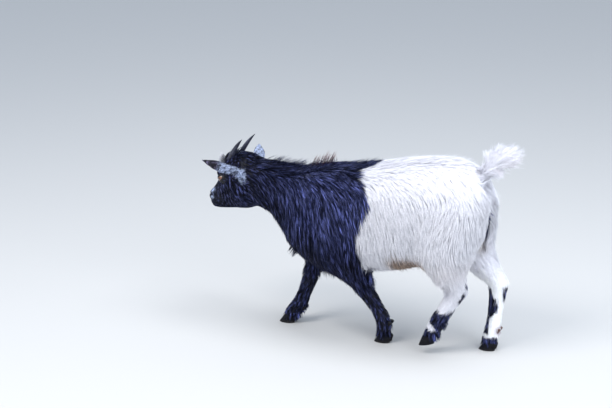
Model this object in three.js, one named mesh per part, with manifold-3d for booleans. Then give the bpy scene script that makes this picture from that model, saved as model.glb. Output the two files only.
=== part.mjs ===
// A small short-legged goat in mid stride, life size, in millimetres.
// It faces -Y, its left side is +X and +Z is up.
// It stands on three feet, and its left hind foot swings forward.
// Every surface lies at the tips of the coat.

import * as THREE from "three";
import { mergeVertices } from "three/addons/utils/BufferGeometryUtils.js";
import Module from "manifold-3d";

const wasm = await Module();
wasm.setup();

// Driving sizes
const GAP = 0.4; // the thin cut between two pieces
const EYE_RADIUS = 12.5;
const HORN_LENGTH = 83;
const HORN_RADIUS = 11.5;
const EAR_HALF_WIDTH = 22;
const EAR_THICKNESS = 5;
const CLAW = { length: 44, width: 17, height: 25, spread: 2.5 };
const DEWCLAW = { length: 11, radius: 5.5 };

// A place in the goat's own frame: forward, to its left, and up.
const at = (forward, left, up) => new THREE.Vector3(left, -forward, up);
const SIDEWAYS = new THREE.Vector3(1, 0, 0);
const mirrored = (p) => new THREE.Vector3(-p.x, p.y, p.z);
const clamp01 = (t) => Math.min(1, Math.max(0, t));
const mix = (a, b, t) => a + (b - a) * t;

// ---------------------------------------------------------------- fields
// A field is a function of a point: below zero inside the body, and about the distance to its surface.

const roundCone = (a, b, ra, rb) => {
  const ab = b.clone().sub(a);
  const squared = ab.lengthSq();
  return (p) => {
    const t = clamp01(p.clone().sub(a).dot(ab) / squared);
    return p.distanceTo(a.clone().addScaledVector(ab, t)) - mix(ra, rb, t);
  };
};

const ellipsoid = (centre, radii, pitch = 0) => {
  const turn = new THREE.Quaternion().setFromAxisAngle(SIDEWAYS, -pitch);
  return (p) => {
    const q = p.clone().sub(centre).applyQuaternion(turn);
    const scaled = q.clone().divide(radii).length();
    const steep = q.clone().divide(radii).divide(radii).length();
    return steep < 1e-9 ? -Math.min(radii.x, radii.y, radii.z) : (scaled * (scaled - 1)) / steep;
  };
};
const radii = (along, across, upright) => new THREE.Vector3(across, along, upright);

// Joins fields with a fillet about as wide as blend.
const joined = (blend, ...fields) => (p) =>
  fields.reduce((whole, field) => {
    const other = field(p);
    const h = clamp01(0.5 + (0.5 * (other - whole)) / blend);
    return mix(other, whole, h) - blend * h * (1 - h);
  }, 1e6);

const bothSides = (centre, size, pitch) => [
  ellipsoid(centre, size, pitch),
  ellipsoid(mirrored(centre), size, pitch),
];

// ---------------------------------------------------------------- nets
const middleOf = (loop) =>
  loop.reduce((sum, p) => sum.add(p), new THREE.Vector3()).divideScalar(loop.length);

function geometryOf(points, triangles) {
  const geometry = new THREE.BufferGeometry();
  const numbers = points.flatMap((p) => p.toArray());
  geometry.setAttribute("position", new THREE.Float32BufferAttribute(numbers, 3));
  geometry.setIndex(triangles.flat());
  return geometry;
}

// A closed surface over a row of loops with as many points each. Both ends close on a pole.
function loft(loops, firstPole, lastPole) {
  const sides = loops[0].length;
  const points = [...loops.flat(), firstPole, lastPole];
  const [first, last] = [points.length - 2, points.length - 1];
  const triangles = [];
  for (let s = 0; s < sides; s++) {
    const next = (s + 1) % sides;
    triangles.push([first, next, s]);
    for (let r = 0; r < loops.length - 1; r++) {
      const [a, b] = [r * sides + s, r * sides + next];
      triangles.push([a, b, b + sides], [a, b + sides, a + sides]);
    }
    const end = (loops.length - 1) * sides;
    triangles.push([last, end + s, end + next]);
  }
  return geometryOf(points, triangles);
}

// How far along a ray from inside the body its surface lies.
function reach(field, from, direction, furthest) {
  const step = furthest / 80;
  let far = step;
  while (far < furthest && field(from.clone().addScaledVector(direction, far)) < 0) far += step;
  let near = far - step;
  for (let i = 0; i < 14; i++) {
    const middle = (near + far) / 2;
    if (field(from.clone().addScaledVector(direction, middle)) < 0) near = middle;
    else far = middle;
  }
  return far;
}

// A net round a centre line, shrunk onto the field.
// Its rings are square to the line, and fans of rays go over both ends.
function wrap(field, line, left, { rings, sides, fans, furthest = 300 }) {
  const curve = new THREE.CatmullRomCurve3(line, false, "centripetal");
  const loops = [];
  const ringAt = (t, tilt) => {
    const centre = curve.getPointAt(t);
    const along = curve.getTangentAt(t);
    const across = left.clone().addScaledVector(along, -left.dot(along)).normalize();
    const upright = along.clone().cross(across);
    const loop = [];
    for (let s = 0; s < sides; s++) {
      const angle = (2 * Math.PI * s) / sides;
      const ray = across.clone().multiplyScalar(Math.cos(angle) * Math.cos(tilt));
      ray.addScaledVector(upright, Math.sin(angle) * Math.cos(tilt)).addScaledVector(along, Math.sin(tilt));
      loop.push(centre.clone().addScaledVector(ray, reach(field, centre, ray, furthest)));
    }
    loops.push(loop);
  };
  const poleAt = (t, sign) => {
    const centre = curve.getPointAt(t);
    const ray = curve.getTangentAt(t).multiplyScalar(sign);
    return centre.clone().addScaledVector(ray, reach(field, centre, ray, furthest));
  };
  const quarter = Math.PI / 2;
  for (let i = 1; i <= fans; i++) ringAt(0, -quarter * (1 - i / (fans + 1)));
  for (let i = 0; i < rings; i++) ringAt(i / (rings - 1), 0);
  for (let i = fans; i >= 1; i--) ringAt(1, quarter * (1 - i / (fans + 1)));
  return loft(loops, poleAt(0, -1), poleAt(1, 1));
}

// ---------------------------------------------------------------- solids
function solidOf(geometry) {
  const bare = geometry.clone();
  bare.deleteAttribute("normal");
  bare.deleteAttribute("uv");
  const merged = mergeVertices(bare, 1e-3);
  const made = new wasm.Manifold(
    new wasm.Mesh({
      numProp: 3,
      vertProperties: new Float32Array(merged.attributes.position.array),
      triVerts: new Uint32Array(merged.index.array),
    }),
  );
  if (made.volume() > 0) return made;
  const turned = new Uint32Array(merged.index.array);
  for (let i = 0; i < turned.length; i += 3) [turned[i + 1], turned[i + 2]] = [turned[i + 2], turned[i + 1]];
  return new wasm.Manifold(
    new wasm.Mesh({
      numProp: 3,
      vertProperties: new Float32Array(merged.attributes.position.array),
      triVerts: turned,
    }),
  );
}

function geometryFrom(solid) {
  const mesh = solid.getMesh();
  const corners = mesh.vertProperties.length / mesh.numProp;
  const positions = new Float32Array(corners * 3);
  for (let i = 0; i < corners; i++)
    positions.set(mesh.vertProperties.subarray(i * mesh.numProp, i * mesh.numProp + 3), i * 3);
  const geometry = new THREE.BufferGeometry();
  geometry.setAttribute("position", new THREE.BufferAttribute(positions, 3));
  geometry.setIndex(new THREE.BufferAttribute(new Uint32Array(mesh.triVerts), 1));
  return geometry;
}

// The same solid with each corner moved out by the gap, to cut its neighbours with.
function grown(solid, by = GAP) {
  const geometry = mergeVertices(geometryFrom(solid), 1e-3);
  geometry.computeVertexNormals();
  const { position, normal } = geometry.attributes;
  for (let i = 0; i < position.count; i++)
    position.setXYZ(
      i,
      position.getX(i) + by * normal.getX(i),
      position.getY(i) + by * normal.getY(i),
      position.getZ(i) + by * normal.getZ(i),
    );
  return solidOf(geometry);
}

// The one body that a cut is meant to leave, without any crumbs where two surfaces all but met.
const largest = (solid) => solid.decompose().sort((a, b) => b.volume() - a.volume())[0];
const oneBody = (solid) => largest(solidOf(geometryFrom(largest(solid))));

// A large block whose one face is the plane through point, on the side that normal points to.
function halfSpace(point, normal, size = 900) {
  const block = new THREE.BoxGeometry(size, size, size);
  const turn = new THREE.Quaternion().setFromUnitVectors(new THREE.Vector3(0, 0, 1), normal);
  const centre = point.clone().addScaledVector(normal, size / 2);
  block.applyMatrix4(new THREE.Matrix4().compose(centre, turn, new THREE.Vector3(1, 1, 1)));
  return solidOf(block);
}

// ---------------------------------------------------------------- bodies along an axis
// A tube whose section follows stations along its axis, each [along, top, bottom, half width, narrowing].
// Narrowing is how much narrower the section is at its top than at its middle.
// The tube closes past both ends.
function stationAt(stations, along, column) {
  const last = stations.length - 1;
  const f = Math.min(stations[last][0] - 1e-6, Math.max(stations[0][0] + 1e-6, along));
  let i = 0;
  while (stations[i + 1][0] < f) i++;
  const row = (n) => stations[Math.min(last, Math.max(0, n))];
  const slope = (n) => (row(n + 1)[column] - row(n - 1)[column]) / (row(n + 1)[0] - row(n - 1)[0]);
  const span = row(i + 1)[0] - row(i)[0];
  const t = (f - row(i)[0]) / span;
  const [t2, t3] = [t * t, t * t * t];
  return (
    (2 * t3 - 3 * t2 + 1) * row(i)[column] +
    (t3 - 2 * t2 + t) * span * slope(i) +
    (3 * t2 - 2 * t3) * row(i + 1)[column] +
    (t3 - t2) * span * slope(i + 1)
  );
}

const tube = ({ stations, hindEnd, foreEnd, squareness, lean = 0 }) => (p) => {
  const along = -p.y - lean * p.z;
  const [top, bottom, width, narrowing] = [1, 2, 3, 4].map((column) => stationAt(stations, along, column));
  const height = (top - bottom) / 2;
  const raised = (p.z - bottom) / height - 1;
  const halfWidth = width * (1 - narrowing * Math.min(1, Math.max(-1, raised)));
  const pastEnd = Math.max(0, (hindEnd.from - along) / hindEnd.depth, (along - foreEnd.from) / foreEnd.depth);
  const out = (v) => Math.abs(v) ** squareness;
  const q = (out(p.x / halfWidth) + out(raised) + out(pastEnd)) ** (1 / squareness);
  return (q - 1) * Math.min(height, width);
};

// ---------------------------------------------------------------- trunk and neck
const barrel = tube({
  stations: [
    [-330, 462, 306, 86, 0.08],
    [-270, 495, 280, 94, 0.08],
    [-205, 519, 251, 108, 0.06],
    [-140, 518, 231, 122, 0.04],
    [-75, 508, 212, 130, 0.06],
    [10, 491, 194, 128, 0.1],
    [90, 481, 180, 117, 0.16],
    [160, 474, 184, 103, 0.2],
    [214, 459, 212, 90, 0.12],
    [252, 460, 249, 78, 0.06],
    [300, 463, 310, 64, 0.02],
    [345, 461, 336, 54, 0.0],
    [400, 456, 342, 46, 0.0],
  ],
  hindEnd: { from: -250, depth: 45 },
  foreEnd: { from: 322, depth: 46 },
  squareness: 2.3,
});

const trunkField = joined(
  34,
  barrel,
  ...bothSides(at(180, 56, 345), radii(62, 40, 104), -0.35), // shoulders
  ...bothSides(at(-222, 48, 388), radii(80, 46, 104), 0.2), // haunches
);

// ---------------------------------------------------------------- head
// The head's own frame: forward along the jaw, its origin where the skull meets the neck.
const HEAD = { place: at(342, -6, 375), turnedRight: 16, noseDown: 23, tiltedLeft: 5 };
const headMatrix = new THREE.Matrix4()
  .makeTranslation(HEAD.place)
  .multiply(new THREE.Matrix4().makeRotationZ(THREE.MathUtils.degToRad(-HEAD.turnedRight)))
  .multiply(new THREE.Matrix4().makeRotationX(THREE.MathUtils.degToRad(HEAD.noseDown)))
  .multiply(new THREE.Matrix4().makeRotationY(THREE.MathUtils.degToRad(HEAD.tiltedLeft)));
const headInverse = headMatrix.clone().invert();
const onHead = (forward, left, up) => at(forward, left, up).applyMatrix4(headMatrix);
const headLeft = SIDEWAYS.clone().transformDirection(headMatrix);

const skull = joined(
  13,
  tube({
    stations: [
      [-25, 92, -43, 47, 0.05],
      [-6, 108, -42, 47, 0.1],
      [24, 124, -41, 47, 0.14],
      [54, 130, -38, 47, 0.16],
      [76, 121, -34, 44, 0.14],
      [94, 102, -30, 39, 0.05],
      [106, 84, -27, 36, 0.0],
      [124, 68, -22, 30, 0.0],
      [146, 55, -17, 25, 0.0],
      [165, 46, -12, 22.5, 0.0],
      [180, 38, -7, 21, 0.0],
    ],
    hindEnd: { from: -5, depth: 45 },
    foreEnd: { from: 160, depth: 21 },
    squareness: 2.5,
    lean: 0.05,
  }),
  ...bothSides(at(85, 33, 83), radii(22, 11, 11)), // brows
  ...bothSides(at(52, 34, 16), radii(36, 13, 30)), // cheeks
  ...bothSides(at(168, 12, 31), radii(10, 9, 9)), // nostrils
  ellipsoid(at(170, 0, 7), radii(17, 20, 10)), // lips
);
const placedSkull = (p) => skull(p.clone().applyMatrix4(headInverse));

const EYE = { forward: 92, left: 33, up: 67 };
const HORN_ROOT = { forward: 57, left: 21, up: 105 };
const EAR_ROOT = { forward: 14, left: 36, up: 68 };

// ---------------------------------------------------------------- horns
// Each horn sweeps up and back, and a little outward, from the crown.
function horn(side) {
  const root = at(HORN_ROOT.forward, side * HORN_ROOT.left, HORN_ROOT.up);
  const sweep = 0.34; // radians that the horn turns backward over its length
  const rise = 0.9; // radians it leans back from the skull's upright at its root
  const outward = 0.08;
  const count = 9;
  const line = [root.clone()];
  for (let i = 1; i < count; i++) {
    const angle = rise + (sweep * i) / count;
    const step = at(-Math.sin(angle), side * outward, Math.cos(angle)).normalize();
    line.push(line[i - 1].clone().addScaledVector(step, HORN_LENGTH / (count - 1)));
  }
  const sides = 10;
  const loops = line.map((centre, i) => {
    const t = i / (count - 1);
    const radius = HORN_RADIUS * (1 - 0.86 * t ** 1.25);
    const along = (line[i + 1] ?? centre).clone().sub(line[i - 1] ?? centre).normalize();
    const across = SIDEWAYS.clone().addScaledVector(along, -along.x).normalize();
    const front = along.clone().cross(across);
    return Array.from({ length: sides }, (_, s) => {
      const angle = (2 * Math.PI * s) / sides;
      return centre
        .clone()
        .addScaledVector(across, 0.82 * radius * Math.cos(angle))
        .addScaledVector(front, radius * Math.sin(angle));
    });
  });
  const last = line[count - 1];
  const tip = last.clone().addScaledVector(last.clone().sub(line[count - 2]).normalize(), 3);
  return loft(loops, root, tip).applyMatrix4(headMatrix);
}

// ---------------------------------------------------------------- ears
// A leaf rolled round its own length: a tube at the root that opens and flattens to the tip.
function ear(root, bend, end, opening) {
  const spine = new THREE.QuadraticBezierCurve3(root, root.clone().add(bend), root.clone().add(end));
  const rings = 10;
  const columns = 6;
  const loops = [];
  for (let i = 0; i < rings; i++) {
    const t = (i / (rings - 1)) * 0.97;
    const centre = spine.getPointAt(t);
    const along = spine.getTangentAt(t);
    const facing = opening.clone().addScaledVector(along, -opening.dot(along)).normalize();
    const across = along.clone().cross(facing);
    const half = EAR_HALF_WIDTH * Math.sin(Math.PI * (0.17 + 0.83 * t) ** 0.85) ** 0.8;
    const curl = mix(2.3, 0.55, Math.min(1, t * 1.5)); // radians from the middle to the edge
    const radius = half / curl;
    const thick = Math.min(EAR_THICKNESS, radius * 0.6) * (1 - 0.5 * t);
    const wall = (s, inward) => {
      const angle = (s / (columns - 1) - 0.5) * 2 * curl;
      const r = radius - inward;
      return centre
        .clone()
        .addScaledVector(across, r * Math.sin(angle))
        .addScaledVector(facing, radius - r * Math.cos(angle) - 0.5 * half);
    };
    const outer = Array.from({ length: columns }, (_, s) => wall(s, 0));
    const inner = Array.from({ length: columns }, (_, s) => wall(columns - 1 - s, thick));
    loops.push([...outer, ...inner]);
  }
  const tip = middleOf(loops[rings - 1]).lerp(spine.getPointAt(1), 0.8);
  return loft(loops, middleOf(loops[0]), tip);
}

// ---------------------------------------------------------------- legs
// Each leg is a chain of joints from inside the trunk down to the coronet: place and radius with its coat.
const LEGS = {
  foreleg_left: {
    joints: [
      [at(150, 66, 310), 38],
      [at(78, 82, 242), 40],
      [at(16, 44, 137), 20.5],
      [at(-22, 24, 62), 19.5],
      [at(-16, 16, 27), 20],
    ],
    muscle: ellipsoid(at(106, 80, 258), radii(50, 44, 50), 0.6),
    socket: { centre: at(84, 83, 238), size: radii(94, 76, 106), pitch: 0.5 },
    leaves: at(36, 54, 166),
    sole: at(-14, 14, 0),
    toeDown: 0,
  },
  foreleg_right: {
    joints: [
      [at(190, -62, 310), 36],
      [at(196, -66, 236), 38],
      [at(223, -48, 122), 20],
      [at(247, -34, 50), 19.5],
      [at(270, -31, 26), 20],
    ],
    muscle: ellipsoid(at(188, -72, 258), radii(44, 38, 50), 0),
    socket: { centre: at(196, -78, 246), size: radii(68, 68, 92), pitch: 0 },
    leaves: at(214, -56, 180),
    sole: at(280, -30, 0),
    toeDown: 0,
  },
  hindleg_left: {
    joints: [
      [at(-225, 60, 390), 50],
      [at(-176, 78, 292), 46],
      [at(-205, 72, 240), 42],
      [at(-240, 62, 198), 28],
      [at(-180, 50, 94), 20.5],
      [at(-160, 48, 56), 20],
    ],
    muscle: ellipsoid(at(-208, 76, 315), radii(66, 50, 88), -0.3),
    socket: { centre: at(-208, 88, 308), size: radii(92, 82, 126), pitch: -0.3 },
    leaves: at(-200, 73, 238),
    sole: at(-150, 48, 26),
    toeDown: 14,
  },
  hindleg_right: {
    joints: [
      [at(-235, -60, 385), 50],
      [at(-222, -78, 282), 46],
      [at(-256, -68, 228), 38],
      [at(-309, -56, 184), 25],
      [at(-301, -42, 60), 19],
      [at(-290, -40, 26), 20],
    ],
    muscle: ellipsoid(at(-232, -76, 310), radii(62, 50, 86), -0.1),
    socket: { centre: at(-230, -88, 304), size: radii(88, 82, 122), pitch: -0.1 },
    leaves: at(-252, -70, 236),
    sole: at(-288, -38, 0),
    toeDown: 0,
  },
};

const legField = ({ joints, muscle }) =>
  joined(16, muscle, ...joints.slice(1).map(([b, rb], i) => roundCone(joints[i][0], b, joints[i][1], rb)));

// A claw in the foot's own frame: the middle of the sole at the origin, and its toe forward.
function claw(side) {
  const { length, width, height, spread } = CLAW;
  const sides = 10;
  const levels = [0, 0.5, 1];
  const outline = (level) => {
    const shrink = 1 - 0.3 * level;
    const lean = -11 * level; // the toe's wall leans back
    return Array.from({ length: sides }, (_, s) => {
      const angle = (2 * Math.PI * s) / sides;
      const forward = (length / 2) * Math.cos(angle);
      const taper = 1 - 0.42 * clamp01(forward / (length / 2)) ** 2;
      const outer = side * Math.sin(angle) > 0 ? 1 : 0.55;
      const left = side * (spread + width * 0.36) + (width / 1.55) * outer * taper * Math.sin(angle);
      const drop = height * level * (1 - 0.3 * (0.5 - forward / length));
      return at(forward * shrink + lean, left * (1 - 0.08 * level), drop);
    });
  };
  const loops = levels.map(outline);
  return loft(loops, middleOf(loops[0]), middleOf(loops[levels.length - 1]));
}

function dewclaw(side) {
  const { length, radius } = DEWCLAW;
  const cone = new THREE.CylinderGeometry(radius, radius * 0.45, length, 6);
  cone.rotateX(Math.PI / 2 - 0.35);
  cone.translate(side * 10, 0, 0);
  return cone;
}

function footMatrix({ sole, toeDown }) {
  return new THREE.Matrix4()
    .makeTranslation(sole)
    .multiply(new THREE.Matrix4().makeRotationX(THREE.MathUtils.degToRad(toeDown)));
}

// ---------------------------------------------------------------- cutting and naming
const BLACK_COAT = new THREE.MeshStandardMaterial({ color: "#16151a", roughness: 0.6, metalness: 0 });
const WHITE_COAT = new THREE.MeshStandardMaterial({ color: "#ebe8e2", roughness: 0.75, metalness: 0 });
const GREY_COAT = new THREE.MeshStandardMaterial({ color: "#85878c", roughness: 0.7, metalness: 0 });
const HORN = new THREE.MeshStandardMaterial({ color: "#38332f", roughness: 0.45, metalness: 0 });
const CLAW_HORN = new THREE.MeshStandardMaterial({ color: "#2c2723", roughness: 0.6, metalness: 0 });
const EYE_GLOSS = new THREE.MeshStandardMaterial({ color: "#8a5a2a", roughness: 0.08, metalness: 0 });

const goat = new THREE.Group();
function add(name, solid, material) {
  const mesh = new THREE.Mesh(geometryFrom(solid), material);
  mesh.name = name;
  goat.add(mesh);
  return solid;
}

// The trunk and neck are one net, parted at the base of the neck. The head has a finer net of its own.
const NECK_CUT = { point: at(238, 0, 330), normal: at(0.9, 0, 0.42).normalize() };
const HEAD_CUT = { point: onHead(-6, 0, 40), normal: onHead(1, 0, 0.1).sub(onHead(0, 0, 0)).normalize() };
const backOf = (cut, shift) => cut.point.clone().addScaledVector(cut.normal, shift);

const bodyLine = [
  at(-235, 0, 390),
  at(-90, 0, 362),
  at(80, 0, 330),
  at(180, 0, 330),
  at(260, 0, 352),
  at(345, -6, 400),
];
const body = solidOf(
  wrap(joined(22, trunkField, placedSkull), bodyLine, SIDEWAYS, { rings: 18, sides: 24, fans: 5 }),
);
const headLine = [onHead(20, 0, 52), onHead(70, 0, 45), onHead(115, 0, 27), onHead(152, 0, 17)];
const headNet = solidOf(
  wrap(joined(22, barrel, placedSkull), headLine, headLeft, { rings: 16, sides: 32, fans: 5, furthest: 160 }),
);

const behindNeck = halfSpace(NECK_CUT.point, NECK_CUT.normal.clone().negate());
const aheadOfNeck = halfSpace(backOf(NECK_CUT, GAP), NECK_CUT.normal);
const behindHead = halfSpace(backOf(HEAD_CUT, -GAP), HEAD_CUT.normal.clone().negate());
const aheadOfHead = halfSpace(HEAD_CUT.point, HEAD_CUT.normal);

// Each leg takes the flesh inside its own socket, a round hollow in the trunk's side.
const socketOf = ({ socket }) => {
  const ball = new THREE.SphereGeometry(1, 14, 7);
  ball.scale(socket.size.x, socket.size.y, socket.size.z);
  ball.rotateX(socket.pitch);
  ball.translate(...socket.centre.toArray());
  return solidOf(ball);
};
let trunk = body.intersect(behindNeck);
for (const leg of Object.values(LEGS)) trunk = trunk.subtract(grown(socketOf(leg)));
add("trunk", oneBody(trunk), WHITE_COAT);
add("neck", oneBody(body.intersect(aheadOfNeck).intersect(behindHead)), BLACK_COAT);
const bodyCutter = grown(body);

const eyes = {};
for (const [name, side] of [["left", 1], ["right", -1]]) {
  const ball = new THREE.SphereGeometry(EYE_RADIUS, 12, 8);
  ball.translate(...onHead(EYE.forward, side * EYE.left, EYE.up).toArray());
  eyes[name] = add(`eye_${name}`, solidOf(ball), EYE_GLOSS);
}
let head = headNet.intersect(aheadOfHead);
for (const ball of Object.values(eyes)) head = head.subtract(grown(ball));
add("head", oneBody(head), BLACK_COAT);

const headCutter = grown(headNet);
for (const [name, side] of [["left", 1], ["right", -1]])
  add(`horn_${name}`, oneBody(solidOf(horn(side)).subtract(headCutter)), HORN);

// How far each ear bends and ends from its root, and where its opening faces.
const EARS = {
  left: { bend: at(33, 42, 8), end: at(77, 88, 45), opening: at(0.72, -0.39, -0.54) },
  right: { bend: at(20, -52, 7), end: at(42, -98, 30), opening: at(0.35, -0.1, -0.9) },
};
for (const [name, side] of [["left", 1], ["right", -1]]) {
  const root = onHead(EAR_ROOT.forward, side * EAR_ROOT.left, EAR_ROOT.up);
  const { bend, end, opening } = EARS[name];
  add(`ear_${name}`, oneBody(solidOf(ear(root, bend, end, opening)).subtract(headCutter)), GREY_COAT);
}

const tailLine = [at(-278, 0, 482), at(-303, 0, 512), at(-350, 0, 541)];
const tailField = joined(
  12,
  roundCone(tailLine[0], tailLine[1], 21, 27),
  roundCone(tailLine[1], tailLine[2], 27, 26),
);
const tail = solidOf(
  wrap(tailField, tailLine, SIDEWAYS, { rings: 6, sides: 12, fans: 2, furthest: 80 }),
);
add("tail", oneBody(tail.subtract(bodyCutter)), WHITE_COAT);

for (const [name, leg] of Object.entries(LEGS)) {
  const place = footMatrix(leg);
  const [fetlock] = leg.joints[leg.joints.length - 2];
  const heel = fetlock.clone().add(at(-16, 0, -5));
  const hooves = [];
  for (const [which, side] of [["outer", Math.sign(leg.sole.x)], ["inner", -Math.sign(leg.sole.x)]]) {
    hooves.push(add(`${name}_claw_${which}`, solidOf(claw(side).applyMatrix4(place)), CLAW_HORN));
    const small = dewclaw(side).translate(...heel.toArray());
    hooves.push(add(`${name}_dewclaw_${which}`, solidOf(small), CLAW_HORN));
  }
  const line = leg.joints.map(([joint]) => joint);
  const limb = legField(leg);
  const hip = joined(30, limb, trunkField);
  const { centre, size, pitch } = leg.socket;
  const around = ellipsoid(centre, size.clone().multiplyScalar(1.08), pitch);
  const field = (p) => Math.max(hip(p), Math.min(around(p), limb(p) - 12));
  const net = wrap(field, line, SIDEWAYS, { rings: 14, sides: 13, fans: 3, furthest: 200 });
  const shank = halfSpace(leg.leaves, line[2].clone().sub(line[1]).normalize()).subtract(bodyCutter);
  let flesh = solidOf(net).intersect(socketOf(leg).add(shank));
  for (const hoof of hooves) flesh = flesh.subtract(grown(hoof));
  const aboveSole = halfSpace(at(0, 0, 9).applyMatrix4(place), new THREE.Vector3(0, 0, 1));
  add(name, oneBody(flesh.intersect(aboveSole)), name.startsWith("fore") ? BLACK_COAT : WHITE_COAT);
}

// The origin is on the floor, under the middle of the whole outline.
const outline = new THREE.Box3().setFromObject(goat);
const middle = outline.getCenter(new THREE.Vector3());
goat.position.set(-middle.x, -middle.y, -outline.min.z);

export default goat;
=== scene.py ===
"""A life-size model of a small long-haired goat in mid stride: one skin under a coat of hair tufts."""

import math

import bmesh
import bpy
import numpy as np
from mathutils import Matrix, Vector
from mathutils.bvhtree import BVHTree
from mathutils.kdtree import KDTree


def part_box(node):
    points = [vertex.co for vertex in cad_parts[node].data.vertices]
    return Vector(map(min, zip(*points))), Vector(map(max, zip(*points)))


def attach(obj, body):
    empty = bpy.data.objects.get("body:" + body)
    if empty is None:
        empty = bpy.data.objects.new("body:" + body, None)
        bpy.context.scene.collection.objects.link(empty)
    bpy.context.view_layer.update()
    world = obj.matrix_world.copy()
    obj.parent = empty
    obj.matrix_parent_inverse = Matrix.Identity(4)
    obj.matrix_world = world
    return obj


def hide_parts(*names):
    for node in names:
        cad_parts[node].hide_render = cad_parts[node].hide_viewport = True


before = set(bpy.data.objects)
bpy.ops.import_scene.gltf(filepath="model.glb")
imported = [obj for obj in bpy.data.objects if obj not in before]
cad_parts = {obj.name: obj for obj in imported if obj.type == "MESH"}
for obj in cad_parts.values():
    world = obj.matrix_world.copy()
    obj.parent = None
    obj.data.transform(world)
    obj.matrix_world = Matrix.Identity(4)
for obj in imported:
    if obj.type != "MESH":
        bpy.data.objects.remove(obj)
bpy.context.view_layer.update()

FLESH = [
    "trunk", "neck", "head", "tail", "ear_left", "ear_right",
    "foreleg_left", "foreleg_right", "hindleg_left", "hindleg_right",
]
MM = 0.001

# ---------------------------------------------------------------- places
# A place is forward, left and up from the floor under the trunk, in millimetres.
RUMP_BACK = 302.8  # how far behind that floor point the rump ends
trunk_low, trunk_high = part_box("trunk")
MIDLINE_X = (trunk_low.x + trunk_high.x) / 2
CENTRE_Y = trunk_high.y - RUMP_BACK * MM


def at(forward, left, up):
    return Vector((MIDLINE_X + left * MM, CENTRE_Y - forward * MM, up * MM))


def step(forward, left, up):
    return Vector((left, -forward, up))


def way(forward, left, up):
    return step(forward, left, up).normalized()


def goat_places(points):
    """Rows of x, y, z as rows of forward, left and up in millimetres."""
    return np.column_stack((CENTRE_Y - points[:, 1], points[:, 0] - MIDLINE_X, points[:, 2])) / MM


def middle(name):
    low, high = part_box(name)
    return (low + high) / 2


# The head is turned to its right, nose down, and tilts a little to its left.
EYE = {"forward": 92, "left": 33, "up": 67, "radius": 12.5}
HEAD_TURN = (
    Matrix.Rotation(math.radians(-16), 4, "Z")
    @ Matrix.Rotation(math.radians(23), 4, "X")
    @ Matrix.Rotation(math.radians(5), 4, "Y")
)
eyes_middle = (middle("eye_left") + middle("eye_right")) / 2
eyes_in_head = Vector((0, -EYE["forward"], EYE["up"])) * MM
HEAD = Matrix.Translation(eyes_middle - HEAD_TURN @ eyes_in_head) @ HEAD_TURN
HEAD_BACK = np.array(HEAD.inverted())


def on_head(forward, left, up):
    return HEAD @ (step(forward, left, up) * MM)


def head_way(forward, left, up):
    return (HEAD_TURN @ step(forward, left, up)).normalized()


def head_places(points):
    """Rows of x, y, z as rows of forward, left and up in the head's own frame, in millimetres."""
    local = points @ HEAD_BACK[:3, :3].T + HEAD_BACK[:3, 3]
    return np.column_stack((-local[:, 1], local[:, 0], local[:, 2])) / MM


def smooth(low, high, x):
    t = np.clip((np.asarray(x, float) - low) / (high - low), 0, 1)
    return t * t * (3 - 2 * t)


def unit(rows):
    return rows / (np.linalg.norm(rows, axis=-1, keepdims=True) + 1e-9)


def blob(points, centre, size):
    """1 at the centre, falling to 0 over about the size, which is one number or one for each axis."""
    return np.exp(-(((points - np.array(centre)) / np.array(size)) ** 2).sum(axis=1))


def ragged(points, size, seed):
    """Smooth wandering numbers from -1 to 1, from a few sine waves."""
    numbers = np.random.default_rng(seed)
    total = np.zeros(len(points))
    for _ in range(5):
        wave = numbers.normal(size=3) / size
        total += np.sin(points @ wave + numbers.uniform(0, 6.28))
    return total / 2.6


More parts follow.
